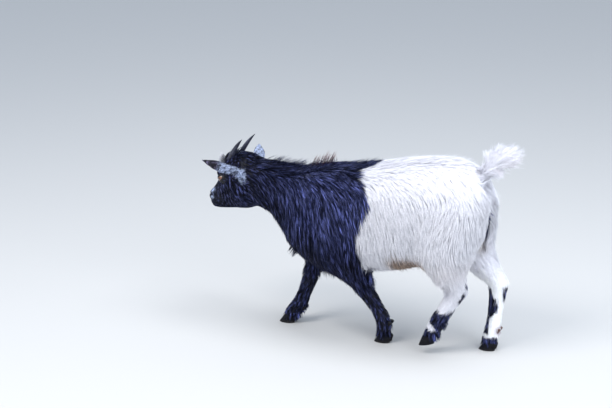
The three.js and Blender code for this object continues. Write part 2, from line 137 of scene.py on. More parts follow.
# ---------------------------------------------------------------- the lie of the coat
# Each row is a place, the way the hair lies there, its length and the coat's depth, in millimetres.
BODY_LIE = {
    "nape": ((332, 0, 462), (-1, 0, 0.0), 40, 15),
    "neck crest": ((275, 0, 458), (-1, 0, 0.2), 46, 15),
    "withers": ((190, 0, 466), (-0.95, 0, 0.15), 48, 15),
    "back": ((60, 0, 484), (-1, 0, -0.05), 42, 14),
    "loin": ((-80, 0, 508), (-1, 0, -0.05), 42, 14),
    "croup": ((-190, 0, 518), (-0.95, 0, -0.2), 40, 14),
    "dock": ((-268, 0, 500), (-0.7, 0, 0.3), 36, 13),
    "neck side": ((322, 50, 415), (-0.8, 0.1, -0.5), 42, 14),
    "lower neck": ((270, 60, 385), (-0.7, 0.1, -0.75), 50, 16),
    "throat": ((335, 25, 345), (-0.6, 0, -0.8), 34, 12),
    "under neck": ((288, 15, 308), (-0.35, 0, -0.95), 58, 16),
    "breast": ((250, 0, 258), (-0.2, 0, -1), 72, 20),
    "breast side": ((215, 72, 300), (-0.1, 0, -1), 68, 20),
    "shoulder top": ((190, 58, 430), (-0.8, 0.2, -0.55), 48, 16),
    "shoulder": ((165, 102, 370), (-0.35, 0.05, -0.95), 58, 18),
    "shoulder point": ((165, 105, 285), (-0.1, 0, -1), 68, 20),
    "brisket": ((180, 30, 198), (-0.3, 0, -1), 58, 18),
    "upper rib": ((80, 72, 455), (-0.85, 0.25, -0.45), 45, 15),
    "rib": ((40, 120, 380), (-0.5, 0.05, -0.85), 54, 17),
    "lower rib": ((40, 118, 270), (-0.15, 0, -1), 60, 19),
    "belly edge": ((10, 85, 212), (-0.2, -0.1, -1), 56, 20),
    "belly": ((0, 12, 196), (-0.7, 0, -0.6), 45, 18),
    "upper flank": ((-100, 75, 487), (-0.85, 0.3, -0.4), 46, 15),
    "flank": ((-100, 125, 390), (-0.5, 0.05, -0.85), 56, 18),
    "lower flank": ((-100, 115, 290), (-0.2, 0, -1), 60, 20),
    "groin": ((-130, 55, 245), (-0.4, -0.2, -0.9), 42, 16),
    "hip": ((-220, 75, 482), (-0.7, 0.35, -0.6), 46, 16),
    "rump": ((-282, 50, 440), (-0.45, 0.15, -0.9), 48, 16),
    "buttock": ((-290, 42, 350), (-0.25, 0.05, -1), 46, 15),
    "crease": ((-293, 6, 370), (-0.1, 0, -1), 12, 4),
    "crease top": ((-298, 8, 396), (-0.1, 0, -1), 14, 6),
}
HEAD_LIE = {
    "nose": ((176, 0, 36), (-1, 0, 0.3), 3.5, 0.8),
    "nose bridge": ((135, 0, 62), (-1, 0, 0.35), 6, 1.2),
    "forehead": ((88, 0, 98), (-0.9, 0, 0.5), 12, 3),
    "horn gap": ((58, 0, 120), (-1, 0, 0.2), 26, 7),
    "poll": ((18, 0, 126), (-1, 0, -0.1), 34, 11),
    "brow": ((98, 33, 85), (-0.9, 0.3, 0.4), 6, 1.5),
    "temple": ((48, 40, 88), (-0.9, 0.2, 0.1), 14, 4),
    "ear base": ((4, 44, 62), (-0.9, 0.1, -0.4), 20, 4),
    "under eye": ((98, 39, 44), (-0.5, 0.1, -0.85), 8, 1.5),
    "cheek": ((62, 47, 22), (-0.35, 0.1, -0.95), 15, 3.5),
    "jaw": ((60, 38, -22), (-0.45, 0, -0.9), 17, 5),
    "jowl": ((0, 40, -20), (-0.8, 0, -0.6), 30, 9),
    "under jaw": ((70, 0, -34), (-1, 0, -0.2), 16, 5),
    "muzzle": ((150, 24, 26), (-1, 0.1, -0.1), 4.5, 1),
    "lip": ((176, 14, 8), (-0.7, 0.4, -0.5), 3, 0.7),
    "chin": ((155, 0, -14), (-0.8, 0, -0.6), 11, 2.5),
}
# Each ear's root is a place on the head. Its bend, its end and the way it opens are in the goat's own axes.
EAR_ROOT = (14, 36, 68)
EARS = {
    "ear_left": {"side": 1, "bend": (33, 42, 8), "end": (77, 88, 45), "opening": (0.72, -0.39, -0.54)},
    "ear_right": {"side": -1, "bend": (20, -52, 7), "end": (42, -98, 30), "opening": (0.35, -0.1, -0.9)},
}
TAIL = [(-278, 0, 482), (-303, 0, 512), (-350, 0, 541)]
# Down each leg's middle from the shoulder or the hip.
LEGS = {
    "foreleg_left": [(150, 66, 310), (78, 82, 242), (16, 44, 137), (-22, 24, 62), (-16, 16, 27)],
    "foreleg_right": [(190, -62, 310), (196, -66, 236), (223, -48, 122), (247, -34, 50), (270, -31, 26)],
    "hindleg_left": [
        (-225, 60, 390), (-176, 78, 292), (-205, 72, 240), (-240, 62, 198), (-180, 50, 94),
        (-160, 48, 56),
    ],
    "hindleg_right": [
        (-235, -60, 385), (-222, -78, 282), (-256, -68, 228), (-309, -56, 184), (-301, -42, 60),
        (-290, -40, 26),
    ],
}
LEG_LENGTHS = {"foreleg": (62, 46, 17, 15, 13), "hindleg": (56, 54, 34, 17, 15, 13)}
LEG_DEPTHS = {"foreleg": (19, 13, 4.5, 4, 3), "hindleg": (19, 17, 9, 4.5, 4, 3)}


def ear_spine(name, t):
    """A place along an ear's middle, from its root at 0 to its tip at 1, in the head's frame."""
    root = on_head(EAR_ROOT[0], EAR_ROOT[1] * EARS[name]["side"], EAR_ROOT[2])
    bend, end = (step(*EARS[name][key]) for key in ("bend", "end"))
    place = root + (bend * (2 * t * (1 - t)) + end * t * t) * MM
    return Vector(head_places(np.array([place]))[0])


def combed():
    """The places, ways, lengths and depths of the whole coat, as arrays."""
    rows = []
    for table, place_of, way_of in ((BODY_LIE, at, way), (HEAD_LIE, on_head, head_way)):
        for (forward, left, up), (ahead, aside, rise), length, depth in table.values():
            for side in (1, -1) if left else (1,):
                place = place_of(forward, left * side, up)
                rows.append((place, way_of(ahead, aside * side, rise), length, depth))
    for name in EARS:
        for t, length, depth in ((0.12, 12, 1.6), (0.35, 9, 0.8), (0.6, 7, 0.7), (0.9, 6, 0.6)):
            here, ahead = ear_spine(name, t), ear_spine(name, t + 0.05)
            rows.append((on_head(*here), head_way(*(ahead - here)), length, depth))
    for name, line in LEGS.items():
        lengths, depths = LEG_LENGTHS[name.split("_")[0]], LEG_DEPTHS[name.split("_")[0]]
        for i, joint in enumerate(line):
            down = Vector(line[min(i + 1, len(line) - 1)]) - Vector(line[max(i - 1, 0)])
            rows.append((at(*joint), way(*down), lengths[i], depths[i]))
            if i + 1 < len(line):
                half = (Vector(joint) + Vector(line[i + 1])) / 2
                along = Vector(line[i + 1]) - Vector(joint)
                length = (lengths[i] + lengths[i + 1]) / 2
                rows.append((at(*half), way(*along), length, (depths[i] + depths[i + 1]) / 2))
    for here, length in enumerate((46, 62, 66)):
        ahead = min(here + 1, 2)
        along = Vector(TAIL[ahead]) - Vector(TAIL[ahead - 1])
        rows.append((at(*TAIL[here]), way(*along), length, 15))
    places, ways, lengths, depths = zip(*rows)
    return np.array(places), np.array(ways), np.array(lengths) * MM, np.array(depths) * MM


COMBED = combed()
REACH = 0.014  # how far, in metres, the nearest row has the coat almost to itself
FALL = 2.2  # how steeply a row's share falls with distance
CHUNK = 40000  # points worked out at a time


def coat_at(points):
    """The way the hair lies, its length and the coat's depth at each point, from the nearest of COMBED."""
    places, ways, lengths, depths = COMBED
    found = [np.empty((len(points), 3)), np.empty(len(points)), np.empty(len(points))]
    for start in range(0, len(points), CHUNK):
        part = slice(start, start + CHUNK)
        apart = ((points[part, None, :] - places[None]) ** 2).sum(axis=2)
        weight = (apart + REACH**2) ** -FALL
        weight /= weight.sum(axis=1, keepdims=True)
        found[0][part] = weight @ ways
        found[1][part] = weight @ lengths
        found[2][part] = weight @ depths
    return unit(found[0]), found[1], found[2]


def ear_share(points):
    """1 on the ears' blades, 0 on the head."""
    here = head_places(points)
    share = np.zeros(len(points))
    for name in EARS:
        line = np.array([ear_spine(name, t) for t in np.linspace(0, 1.1, 24)])
        apart = np.linalg.norm(here[:, None, :] - line[None], axis=2)
        nearest = apart.argmin(axis=1) / 23 * 1.1
        share = np.maximum(share, smooth(0.03, 0.14, nearest) * (apart.min(axis=1) < 26))
    return share


# ---------------------------------------------------------------- meshes
def read(items, key, wide, kind=float):
    """One row of values for each item."""
    found = np.empty(len(items) * wide, kind)
    items.foreach_get(key, found)
    return found.reshape(-1, wide)


def write(items, key, values, kind=np.float32):
    items.foreach_set(key, np.asarray(values, kind).ravel())


def points_of(mesh):
    return read(mesh.vertices, "co", 3)


def normals_of(mesh):
    return read(mesh.vertex_normals, "vector", 3)


def edges_of(mesh):
    return read(mesh.edges, "vertices", 2, int)


def move_to(mesh, points):
    write(mesh.vertices, "co", points, float)
    mesh.update()


def store(mesh, name, kind, key, values):
    """A value at each point of the mesh, which materials read by its name."""
    layers = mesh.color_attributes if kind == "FLOAT_COLOR" else mesh.attributes
    write(layers.new(name, kind, "POINT").data, key, values)


def evened(values, edges, rounds, share=0.5):
    """Each value moves towards the mean of its neighbours'."""
    count = np.bincount(edges.ravel(), minlength=len(values))[:, None]
    shape = values.shape
    values = values.reshape(len(values), -1)
    for _ in range(rounds):
        total = np.zeros_like(values)
        for axis in range(values.shape[1]):
            total[:, axis] += np.bincount(edges[:, 0], values[edges[:, 1], axis], len(values))
            total[:, axis] += np.bincount(edges[:, 1], values[edges[:, 0], axis], len(values))
        values = values + share * (total / count - values)
    return values.reshape(shape)


def shown(name, data):
    made = bpy.data.objects.new(name, data)
    bpy.context.scene.collection.objects.link(made)
    return made


def evaluated(holder):
    """The object's mesh after its modifiers. The object goes."""
    graph = bpy.context.evaluated_depsgraph_get()
    result = bpy.data.meshes.new_from_object(holder.evaluated_get(graph))
    bpy.data.objects.remove(holder)
    return result


def with_modifier(mesh, kind, **settings):
    """The mesh after one modifier."""
    holder = shown("holder", mesh)
    for group, weights in settings.pop("groups", {}).items():
        made = holder.vertex_groups.new(name=group)
        levels = np.round(weights * 20) / 20
        for level in np.unique(levels):
            made.add(np.flatnonzero(levels == level).tolist(), float(level), "REPLACE")
    change = holder.modifiers.new(kind.lower(), kind)
    for key, value in settings.items():
        setattr(change, key, value)
    return evaluated(holder)


# ---------------------------------------------------------------- skin
SKIN_GRAIN = 2.5 * MM
CLOSING = 0.6 * MM  # closes the thin cuts between the pieces
HOLLOW = 20 * MM  # the widest hollow between a leg and the body
EAR_DEPTH = 0.8 * MM  # of the coat on the ears


def largest_part(mesh):
    bm = bmesh.new()
    bm.from_mesh(mesh)
    bm.verts.ensure_lookup_table()
    seen = np.zeros(len(bm.verts), bool)
    parts = []
    for vert in bm.verts:
        if seen[vert.index]:
            continue
        seen[vert.index] = True
        part, front = [vert], [vert]
        while front:
            here = front.pop()
            for edge in here.link_edges:
                other = edge.other_vert(here)
                if not seen[other.index]:
                    seen[other.index] = True
                    part.append(other)
                    front.append(other)
        parts.append(part)
    keep = max(parts, key=len)
    for part in parts:
        if part is not keep:
            bmesh.ops.delete(bm, geom=part, context="VERTS")
    bm.to_mesh(mesh)
    bm.free()
    return mesh


def joined_flesh(names, swell, extra=None):
    """The named nodes in one mesh, each swollen a little, with another mesh added as it is."""
    bm = bmesh.new()
    for name in names:
        bm.from_mesh(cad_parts[name].data)
    bmesh.ops.remove_doubles(bm, verts=bm.verts, dist=1e-5)
    bm.normal_update()
    for vert in bm.verts:
        vert.co += vert.normal * swell
    if extra:
        bm.from_mesh(extra)
    mesh = bpy.data.meshes.new("flesh")
    bm.to_mesh(mesh)
    bm.free()
    return mesh


def soft_normals(mesh, edges, rounds):
    return unit(evened(normals_of(mesh), edges, rounds))


def shrunk(mesh, amount, steps=4):
    """The surface moved in by that much, along normals that are evened so that it doesn't fold."""
    edges = edges_of(mesh)
    points = points_of(mesh)
    for _ in range(steps):
        move_to(mesh, points)
        points = evened(points - soft_normals(mesh, edges, 4) * amount / steps, edges, 1)
    move_to(mesh, points)
    return mesh


def remeshed(mesh, grain):
    return largest_part(with_modifier(mesh, "REMESH", mode="VOXEL", voxel_size=grain))


def coat_surface():
    """The whole animal's outline at the coat's tips, with no hollows where the legs join."""
    limbs = [name for name in FLESH if "leg" in name or name == "trunk"]
    swollen = remeshed(joined_flesh(limbs, HOLLOW / 2), 2 * SKIN_GRAIN)
    filling = shrunk(swollen, HOLLOW / 2 + CLOSING)
    return remeshed(joined_flesh([*FLESH, "eye_left", "eye_right"], CLOSING, filling), SKIN_GRAIN)


def docked(points):
    """The tail's flesh drawn in along its length, so that it ends well inside its brush of hair."""
    start = np.array(at(*TAIL[1]))
    along = np.array(way(*(Vector(TAIL[2]) - Vector(TAIL[1]))))
    past = (points - start) @ along
    keep, drawn_in, near = 6 * MM, 0.62, 100 * MM
    own = (past > keep) & (np.linalg.norm(points - start, axis=1) < near)
    return points - np.where(own, (past - keep) * drawn_in, 0)[:, None] * along


def sink(mesh):
    """Moves the outline in by the coat's depth, a little at a time so that it doesn't fold."""
    edges = edges_of(mesh)
    points = points_of(mesh)
    ears = ear_share(points)
    points = np.where(ears[:, None] > 0.5, points, evened(points, edges, 6))
    depth = coat_at(points)[2]
    depth = depth * (1 - ears) + EAR_DEPTH * ears
    depth = evened(depth, edges, 8)
    steps = 6
    soft = np.clip(depth / (5 * MM), 0, 1)[:, None]
    for _ in range(steps):
        move_to(mesh, points)
        points = points - soft_normals(mesh, edges, 4) * depth[:, None] / steps
        points = points + soft * (evened(points, edges, 3) - points)
    move_to(mesh, docked(points))
    return mesh


def detail_wanted(points):
    """1 where the skin keeps its fine grain: the face, the ears and the feet."""
    here = head_places(points)
    face = smooth(10, 40, here[:, 0]) * (np.abs(here[:, 1]) < 80) * (np.abs(here[:, 2] - 40) < 110)
    low = 1 - smooth(60, 110, goat_places(points)[:, 2])
    return np.clip(np.maximum(np.maximum(face, ear_share(points)), 0.6 * low), 0, 1)


def split_near(mesh, wanted, rounds):
    """Halves every edge whose middle the function wants finer."""
    bm = bmesh.new()
    bm.from_mesh(mesh)
    for _ in range(rounds):
        edges = list(bm.edges)
        middles = np.array([(e.verts[0].co + e.verts[1].co) / 2 for e in edges])
        chosen = [edges[i] for i in np.flatnonzero(wanted(middles))]
        bmesh.ops.subdivide_edges(bm, edges=chosen, cuts=1, use_grid_fill=True)
        bmesh.ops.triangulate(bm, faces=[f for f in bm.faces if len(f.verts) > 3])
    bm.to_mesh(mesh)
    bm.free()
    return mesh


# ---------------------------------------------------------------- the face
def eye_frame(side):
    """The eye's middle, and the ways out of the head, along the lids and across them."""
    centre = on_head(EYE["forward"], side * EYE["left"], EYE["up"])
    out = head_way(0.14, side * 0.98, 0.10)
    along = head_way(1, 0, -0.32)
    along = (along - out * along.dot(out)).normalized()
    return centre, out, along, along.cross(out).normalized() * side


def near_eye(points, side):
    centre, out, along, over = eye_frame(side)
    apart = points - np.array(centre)
    far = np.linalg.norm(apart, axis=1) + 1e-9
    ahead, sideways, upward = (apart @ np.array(axis) / far for axis in (out, along, over))
    return far, ahead, np.arctan2(sideways, ahead), np.arcsin(np.clip(upward, -1, 1))


def lid_gap(turn, rise):
    """How far outside the almond between the lids a direction is, in radians. Below zero is open."""
    corner = 1.22
    opening = np.where(rise > 0, 0.37, 0.28) * (1 - np.abs(turn / corner) ** 2.5)
    beyond = np.hypot(np.maximum(np.abs(turn) - corner, 0), rise)
    return np.where(np.abs(turn) < corner, np.abs(rise) - np.maximum(opening, 0), beyond)


def shape_lids(points):
    """Wraps the skin round each eyeball as two lids, and tucks it behind the ball between them."""
    ball = EYE["radius"] * MM
    for side in (1, -1):
        far, ahead, turn, rise = near_eye(points, side)
        gap = lid_gap(turn, rise)
        lid = ball + (0.5 + 1.5 * smooth(0.0, 0.12, gap)) * MM
        lid = lid - 0.9 * MM * np.exp(-(((gap - 0.42) / 0.09) ** 2)) * (rise > 0)
        lid = lid - 0.4 * MM * np.exp(-(((gap - 0.34) / 0.08) ** 2)) * (rise < 0)
        tucked = ball - 2.5 * MM
        wanted = np.where(gap > 0, lid, tucked + (lid - tucked) * smooth(-0.1, 0, gap))
        share = (1 - smooth(0.5, 1.05, gap)) * smooth(0.0, 0.25, ahead) * (far < 30 * MM)
        centre = np.array(eye_frame(side)[0])
        moved = centre + (points - centre) * (wanted / far)[:, None]
        points = points + share[:, None] * (moved - points)
    return points


def groove(points, normals, tree, line, width, depth):
    """Presses a line into the skin, or raises it where the depth is below zero."""
    corners = np.array([tree.find_nearest(on_head(*corner))[0] for corner in line])
    steps = np.linspace(0, len(corners) - 1, 16 * (len(corners) - 1) + 1)
    path = np.column_stack([np.interp(steps, range(len(corners)), corners[:, axis]) for axis in range(3)])
    close = np.linalg.norm(points - path.mean(axis=0), axis=1) < 0.09
    apart = np.full(len(points), 1.0)
    apart[close] = np.linalg.norm(points[close, None] - path[None], axis=2).min(axis=1)
    return points - normals * (depth * MM * np.exp(-((apart / (width * MM)) ** 2)))[:, None]


# Lines on the face: places in the head's frame, then the width and depth of the fold.
FACE_LINES = {
    "mouth": ([(183, 2, 8), (178, 13, 8), (160, 21, 5), (138, 24, 1), (122, 26, -2)], 1.5, 2.4),
    "upper lip": ([(181, 6, 14), (172, 18, 13), (150, 23, 9)], 4.0, -0.9),
    "lower lip": ([(178, 6, 2), (170, 14, 2), (150, 20, -3)], 3.5, -0.7),
    "nostril": ([(183, 6, 24), (181, 11, 30), (175, 16, 35), (168, 18, 36)], 2.1, 4.2),
    "nostril rim": ([(180, 15, 26), (172, 20, 31), (164, 21, 36)], 3.0, -1.2),
    "tear line": ([(112, 33, 55), (122, 30, 46)], 2.0, 1.0),
    "cheek bone": ([(120, 30, 40), (98, 42, 46), (70, 47, 50)], 6.0, -1.3),
    "under cheek": ([(112, 32, 22), (86, 42, 8), (60, 46, -6)], 7.0, 1.0),
    "brow": ([(106, 30, 80), (92, 38, 86), (76, 40, 84)], 5.0, -1.6),
    "eye corner": ([(107, 36, 58), (113, 33, 54)], 1.6, 1.2),
}


def carve_face(mesh):
    points = shape_lids(points_of(mesh))
    move_to(mesh, points)
    tree = BVHTree.FromPolygons(points.tolist(), [tuple(face.vertices) for face in mesh.polygons])
    normals = normals_of(mesh)
    for line, width, depth in FACE_LINES.values():
        for side in (1, -1):
            mirrored = [(forward, left * side, up) for forward, left, up in line]
            points = groove(points, normals, tree, mirrored, width, depth)
    points = groove(points, normals, tree, [(185, 0, 24), (185, 0, 9)], 1.3, 1.3)
    grain = 0.05 * MM * detail_wanted(points) * ragged(points / MM, 1.1, 7)
    move_to(mesh, points + normals * grain[:, None])
    return mesh


def wants_fine(points):
    here = head_places(points)
    return (here[:, 0] > 48) & (np.abs(here[:, 1]) < 62) & (np.abs(here[:, 2] - 40) < 80)


def wants_finest(points):
    eyes = np.minimum(*(near_eye(points, side)[0] for side in (1, -1))) < 19 * MM
    here = head_places(points)
    nose = (here[:, 0] > 158) & (np.abs(here[:, 1]) < 40) & (here[:, 2] > -5) & (here[:, 2] < 50)
    return eyes | nose


skin_mesh = sink(coat_surface())
sunk_points = points_of(skin_mesh)
skin_mesh = with_modifier(
    skin_mesh, "DECIMATE", ratio=0.2, groups={"plain": 1 - detail_wanted(sunk_points)}, vertex_group="plain"
)
skin_mesh = split_near(split_near(skin_mesh, wants_fine, 1), wants_finest, 1)
skin_mesh = carve_face(skin_mesh)


# ---------------------------------------------------------------- markings
BLACK = np.array((0.0145, 0.0178, 0.0560))
WHITE = np.array((0.745, 0.74, 0.785))
SILVER = np.array((0.34, 0.40, 0.56))
RUST = np.array((0.16, 0.050, 0.028))
TAN = np.array((0.42, 0.30, 0.23))
PINK = np.array((0.10, 0.062, 0.060))
EAR_TIP = np.array((0.022, 0.017, 0.028))

# Where black meets white down the side: forward of this line is black. Up, then forward, in millimetres.
GIRTH = (
    (150, 26), (215, 24), (262, 22), (310, 25), (358, 16),
    (400, -8), (436, 18), (471, 40), (491, 4), (520, 0),
)


def along_leg(points, name):
    """How far down a leg each point is, in joints, and how far from its middle line in millimetres."""
    line = np.array(LEGS[name], float)
    best = np.full(len(points), 1e9)
    place = np.zeros(len(points))
    for i in range(len(line) - 1):
        bone = line[i + 1] - line[i]
        t = np.clip(((points - line[i]) @ bone) / (bone @ bone), 0, 1)
        apart = np.linalg.norm(points - (line[i] + t[:, None] * bone), axis=1)
        nearer = apart < best
        best[nearer], place[nearer] = apart[nearer], (i + t)[nearer]
    return place, best


def near_line(points, line, radius):
    """1 on a bent line through the places, falling to 0 at the radius."""
    line = np.array(line, float)
    apart = np.full(len(points), 1e9)
    for a, b in zip(line[:-1], line[1:]):
        t = np.clip((points - a) @ (b - a) / ((b - a) @ (b - a)), 0, 1)
        apart = np.minimum(apart, np.linalg.norm(points - (a + t[:, None] * (b - a)), axis=1))
    return 1 - smooth(0.6 * radius, radius, apart)


# A painted shadow: the black line down the cleft behind, from below the tail to the inside of the right
# thigh.
CLEFT_SHADOW = [
    (-300, 23, 434), (-300, 17, 410), (-297, 9, 384), (-293, 0, 358), (-287, -14, 326), (-278, -31, 286),
]
# The short line down behind the left hock.
BEHIND_HOCK = [(-260, 66, 202), (-266, 76, 186), (-256, 76, 174), (-244, 73, 158)]


def mark_hindlegs(here, tint):
    forward, left, up = here.T
    # Left hind leg: a line behind the hock, a black band above the fetlock, a pale ring and a black foot.
    place, apart = along_leg(here, "hindleg_left")
    own = (apart < 45) & (left > 0)
    shin = (here - np.array(LEGS["hindleg_left"][3])) @ np.array((0.866, 0.0, 0.5))
    wander = 0.03 * ragged(here, 9, 4)
    tint(own * near_line(here, BEHIND_HOCK, 10), BLACK)
    slant = place - 0.005 * shin + wander
    ring_top = place + 0.008 * shin + wander
    tint(own * smooth(3.66, 3.74, slant) * (1 - smooth(4.36, 4.42, ring_top)), BLACK)
    tint(own * smooth(4.62, 4.70, place - 0.0087 * shin), BLACK)
    # Right hind leg: a wedge down the front, a strip behind the hock, a brown spot and a black foot.
    place, apart = along_leg(here, "hindleg_right")
    own = (apart < 45) & (left < 0)
    shin = forward + 305
    reach = np.interp(up, (60, 88, 98, 106, 126, 148, 166), (13, 11, 2, -9, -11, 3, 14))
    reach = reach + 1.5 * ragged(here, 7, 5)
    tint(own * smooth(-2, 2, shin - reach) * (up > 45) * (up < 172), BLACK)
    behind = smooth(6, 10, -(forward + 316)) * smooth(126, 134, up) * (1 - smooth(168, 176, up))
    tint(own * behind, BLACK)
    tint(own * 0.9 * blob(here, (-314, -40, 56), (9, 14, 10)), RUST)
    tint(own * smooth(-40, -32, -up), BLACK)


def mark_head(world, head, tint):
    """Silver hair on the ears, on the brow and beside the nose. The left ear's tip is dark."""
    strands = smooth(-0.5, 0.5, ragged(head, 1.5, 3))
    above = smooth(72, 80, head[:, 2]) * (1 - smooth(44, 52, np.abs(head[:, 1])))
    ears = ear_share(world) * (1 - above)
    tip = np.zeros(len(world))
    for name in EARS:
        end = np.array(ear_spine(name, 1.0))
        tip = np.maximum(tip, 1 - smooth(42, 60, np.linalg.norm(head - end, axis=1)))
    nearside = smooth(-20, 20, head[:, 1])
    tint(ears * (0.15 + 0.85 * strands) * (1 - 0.95 * nearside * tip), SILVER)
    tint(0.7 * ears * nearside * tip, EAR_TIP)
    for side in (1, -1):
        base = blob(head, (14, 45 * side, 64), (16, 16, 17))
        base = base + 0.85 * blob(head, (22, 47 * side, 45), (6, 12, 12))
        base = base * (1 - smooth(68, 80, head[:, 2]))
        tint(1.1 * (0.1 + 0.9 * strands) * smooth(0.3, 0.7, base), SILVER * 1.15)
    tint(0.5 * strands * blob(head, (44, 0, 122), (13, 9, 10)), SILVER)
    tint(2.0 * blob(head, (82, 12, 103), (9, 13, 9)), WHITE * np.array((0.85, 0.9, 0.98)))
    tint(1.5 * (0.3 + 0.7 * strands) * blob(head, (158, 17, 43), (8, 9, 6)), SILVER * 1.5)
    tint(1.5 * (0.3 + 0.7 * strands) * blob(head, (166, 21, 25), (6, 8, 4)), SILVER * 1.5)


def marking(world):
    """The coat's colour at each point, with painted light and shade."""
    here, head = goat_places(world), head_places(world)
    forward, left, up = here.T
    edge = np.interp(up, *np.array(GIRTH, float).T)
    edge = edge + 4 * ragged(here, 14, 1) + 3 * ragged(here, 5, 2)
    white = 1 - smooth(-2.5, 2.5, forward - edge)
    colour = BLACK + white[:, None] * (WHITE - BLACK)

    def tint(share, shade):
        nonlocal colour
        colour = colour + np.clip(share, 0, 1)[:, None] * (shade - colour)

    # Black hair is painted lighter over the shoulder as painted light, and darker on the neck, the legs and
    # under the breast as painted shade.
    painted_light_and_taper = np.interp(up, (130, 240, 280, 330, 390, 470), (0.45, 0.5, 0.7, 1.25, 1.4, 0.85))
    painted_light_and_taper = painted_light_and_taper * np.interp(forward, (190, 280), (1, 0.42))
    # Painted light and shade on white hair: lighter at the top and low on the legs, darker along the side's
    # middle.
    white_painted_light = np.interp(up, (100, 220, 260, 400, 480), (1.10, 0.96, 0.87, 0.86, 1.16))
    # Painted light on the far side below the back, and on the far buttock.
    white_painted_light = white_painted_light * (1 + 0.28 * (left < -20) * (1 - smooth(300, 380, up)))
    white_painted_light = white_painted_light * (1 + 0.2 * blob(here, (-300, -36, 440), (40, 40, 66)))
    colour = colour * (white * white_painted_light + (1 - white) * painted_light_and_taper)[:, None]

    # The black is painted deepest above the elbow, as painted shade low on the side.
    tint(0.75 * (1 - white) * blob(here, (125, 112, 246), (62, 60, 26)), BLACK * 0.35)
    # Rusty ends under the breast and on the withers.
    tint(0.4 * blob(here, (265, 0, 225), (20, 30, 22)), RUST)
    tint(0.25 * blob(here, (160, 0, 484), (30, 18, 12)), RUST)
    # The forelegs are black all down.
    for name in ("foreleg_left", "foreleg_right"):
        place, apart = along_leg(here, name)
        tint((apart < 46) * smooth(0.7, 1.0, place), BLACK * 0.6)
    # The belly is tan between the ribs and the thighs, partly its own colour and partly painted shade, and
    # black behind the elbow.
    low = (1 - smooth(256, 293, up)) * smooth(30, 76, -forward) * (1 - smooth(138, 165, -forward))
    tint(1.25 * low * (up > 170), TAN * 0.5)
    tint(0.25 * blob(here, (-205, 60, 250), (60, 60, 40)), TAN)
    tint(1.5 * blob(here, (0, 64, 188), (26, 30, 26)), BLACK)
    mark_hindlegs(here, tint)
    # The painted shadow down the cleft behind, and the grey patch below it.
    tint(near_line(here, CLEFT_SHADOW, 10), BLACK)
    tint(0.75 * blob(here, (-268, -24, 284), (16, 20, 13)), TAN * 0.45)
    tint(0.3 * blob(here, (-322, 0, 508), (16, 22, 10)), TAN)
    mark_head(world, head, tint)
    return np.clip(colour, 0, 1)


# ---------------------------------------------------------------- the coat
PATCH = 0.003  # each tuft's own square on the skin's unwrap
DEEP = 0.050  # hair darker than this has almost no shine
PALE = 0.12  # hair lighter than this is white or silver
LOOSE = 0.07  # the share of tufts that stand a little off the rest
ROOT_DEPTH = 0.7 * MM


class Skin:
    """The skin's triangles, for placing roots and asking where the nearest skin is."""

    def __init__(self, mesh):
        mesh.calc_loop_triangles()
        self.points = points_of(mesh)
        self.triangles = read(mesh.loop_triangles, "vertices", 3, int)
        self.normals = soft_normals(mesh, edges_of(mesh), 3)
        self.tree = BVHTree.FromPolygons(self.points.tolist(), self.triangles.tolist())
        a, b, c = (self.points[self.triangles[:, i]] for i in range(3))
        self.areas = np.linalg.norm(np.cross(b - a, c - a), axis=1) / 2

    def shares(self, faces, places):
        """Each place's share of its triangle's three corners."""
        a, b, c = (self.points[self.triangles[faces, i]] for i in range(3))
        ab, ac, ap = b - a, c - a, places - a
        d00, d01, d11 = (ab * ab).sum(1), (ab * ac).sum(1), (ac * ac).sum(1)
        d20, d21 = (ap * ab).sum(1), (ap * ac).sum(1)
        under = np.maximum(d00 * d11 - d01 * d01, 1e-20)
        v, w = (d11 * d20 - d01 * d21) / under, (d00 * d21 - d01 * d20) / under
        found = np.clip(np.column_stack((1 - v - w, v, w)), 0, 1)
        return found / found.sum(axis=1, keepdims=True)

    def normal_at(self, faces, shares):
        corners = self.normals[self.triangles[faces]]
        return unit((corners * shares[:, :, None]).sum(axis=1))

    def nearest(self, places):
        """The nearest skin to each place, its triangle, and its share of the triangle's corners."""
        spots = np.empty((len(places), 3))
        faces = np.empty(len(places), int)
        for i, place in enumerate(places.tolist()):
            spots[i], _, faces[i], _ = self.tree.find_nearest(place)
        return spots, faces, self.shares(faces, spots)

    def scatter(self, amount, numbers, density):
        """Roots over the skin, thicker where density is higher."""
        centres = self.points[self.triangles].mean(axis=1)
        weight = self.areas * density(centres)
        faces = numbers.choice(len(weight), amount, p=weight / weight.sum())
        r1, r2 = np.sqrt(numbers.random(amount)), numbers.random(amount)
        shares = np.column_stack((1 - r1, r1 * (1 - r2), r1 * r2))
        return faces, shares, (self.points[self.triangles[faces]] * shares[:, :, None]).sum(axis=1)


def turned_about(rows, axes, angles):
    cosine, sine = np.cos(angles)[:, None], np.sin(angles)[:, None]
    along = (rows * axes).sum(axis=1, keepdims=True)
    return rows * cosine + np.cross(axes, rows) * sine + axes * along * (1 - cosine)


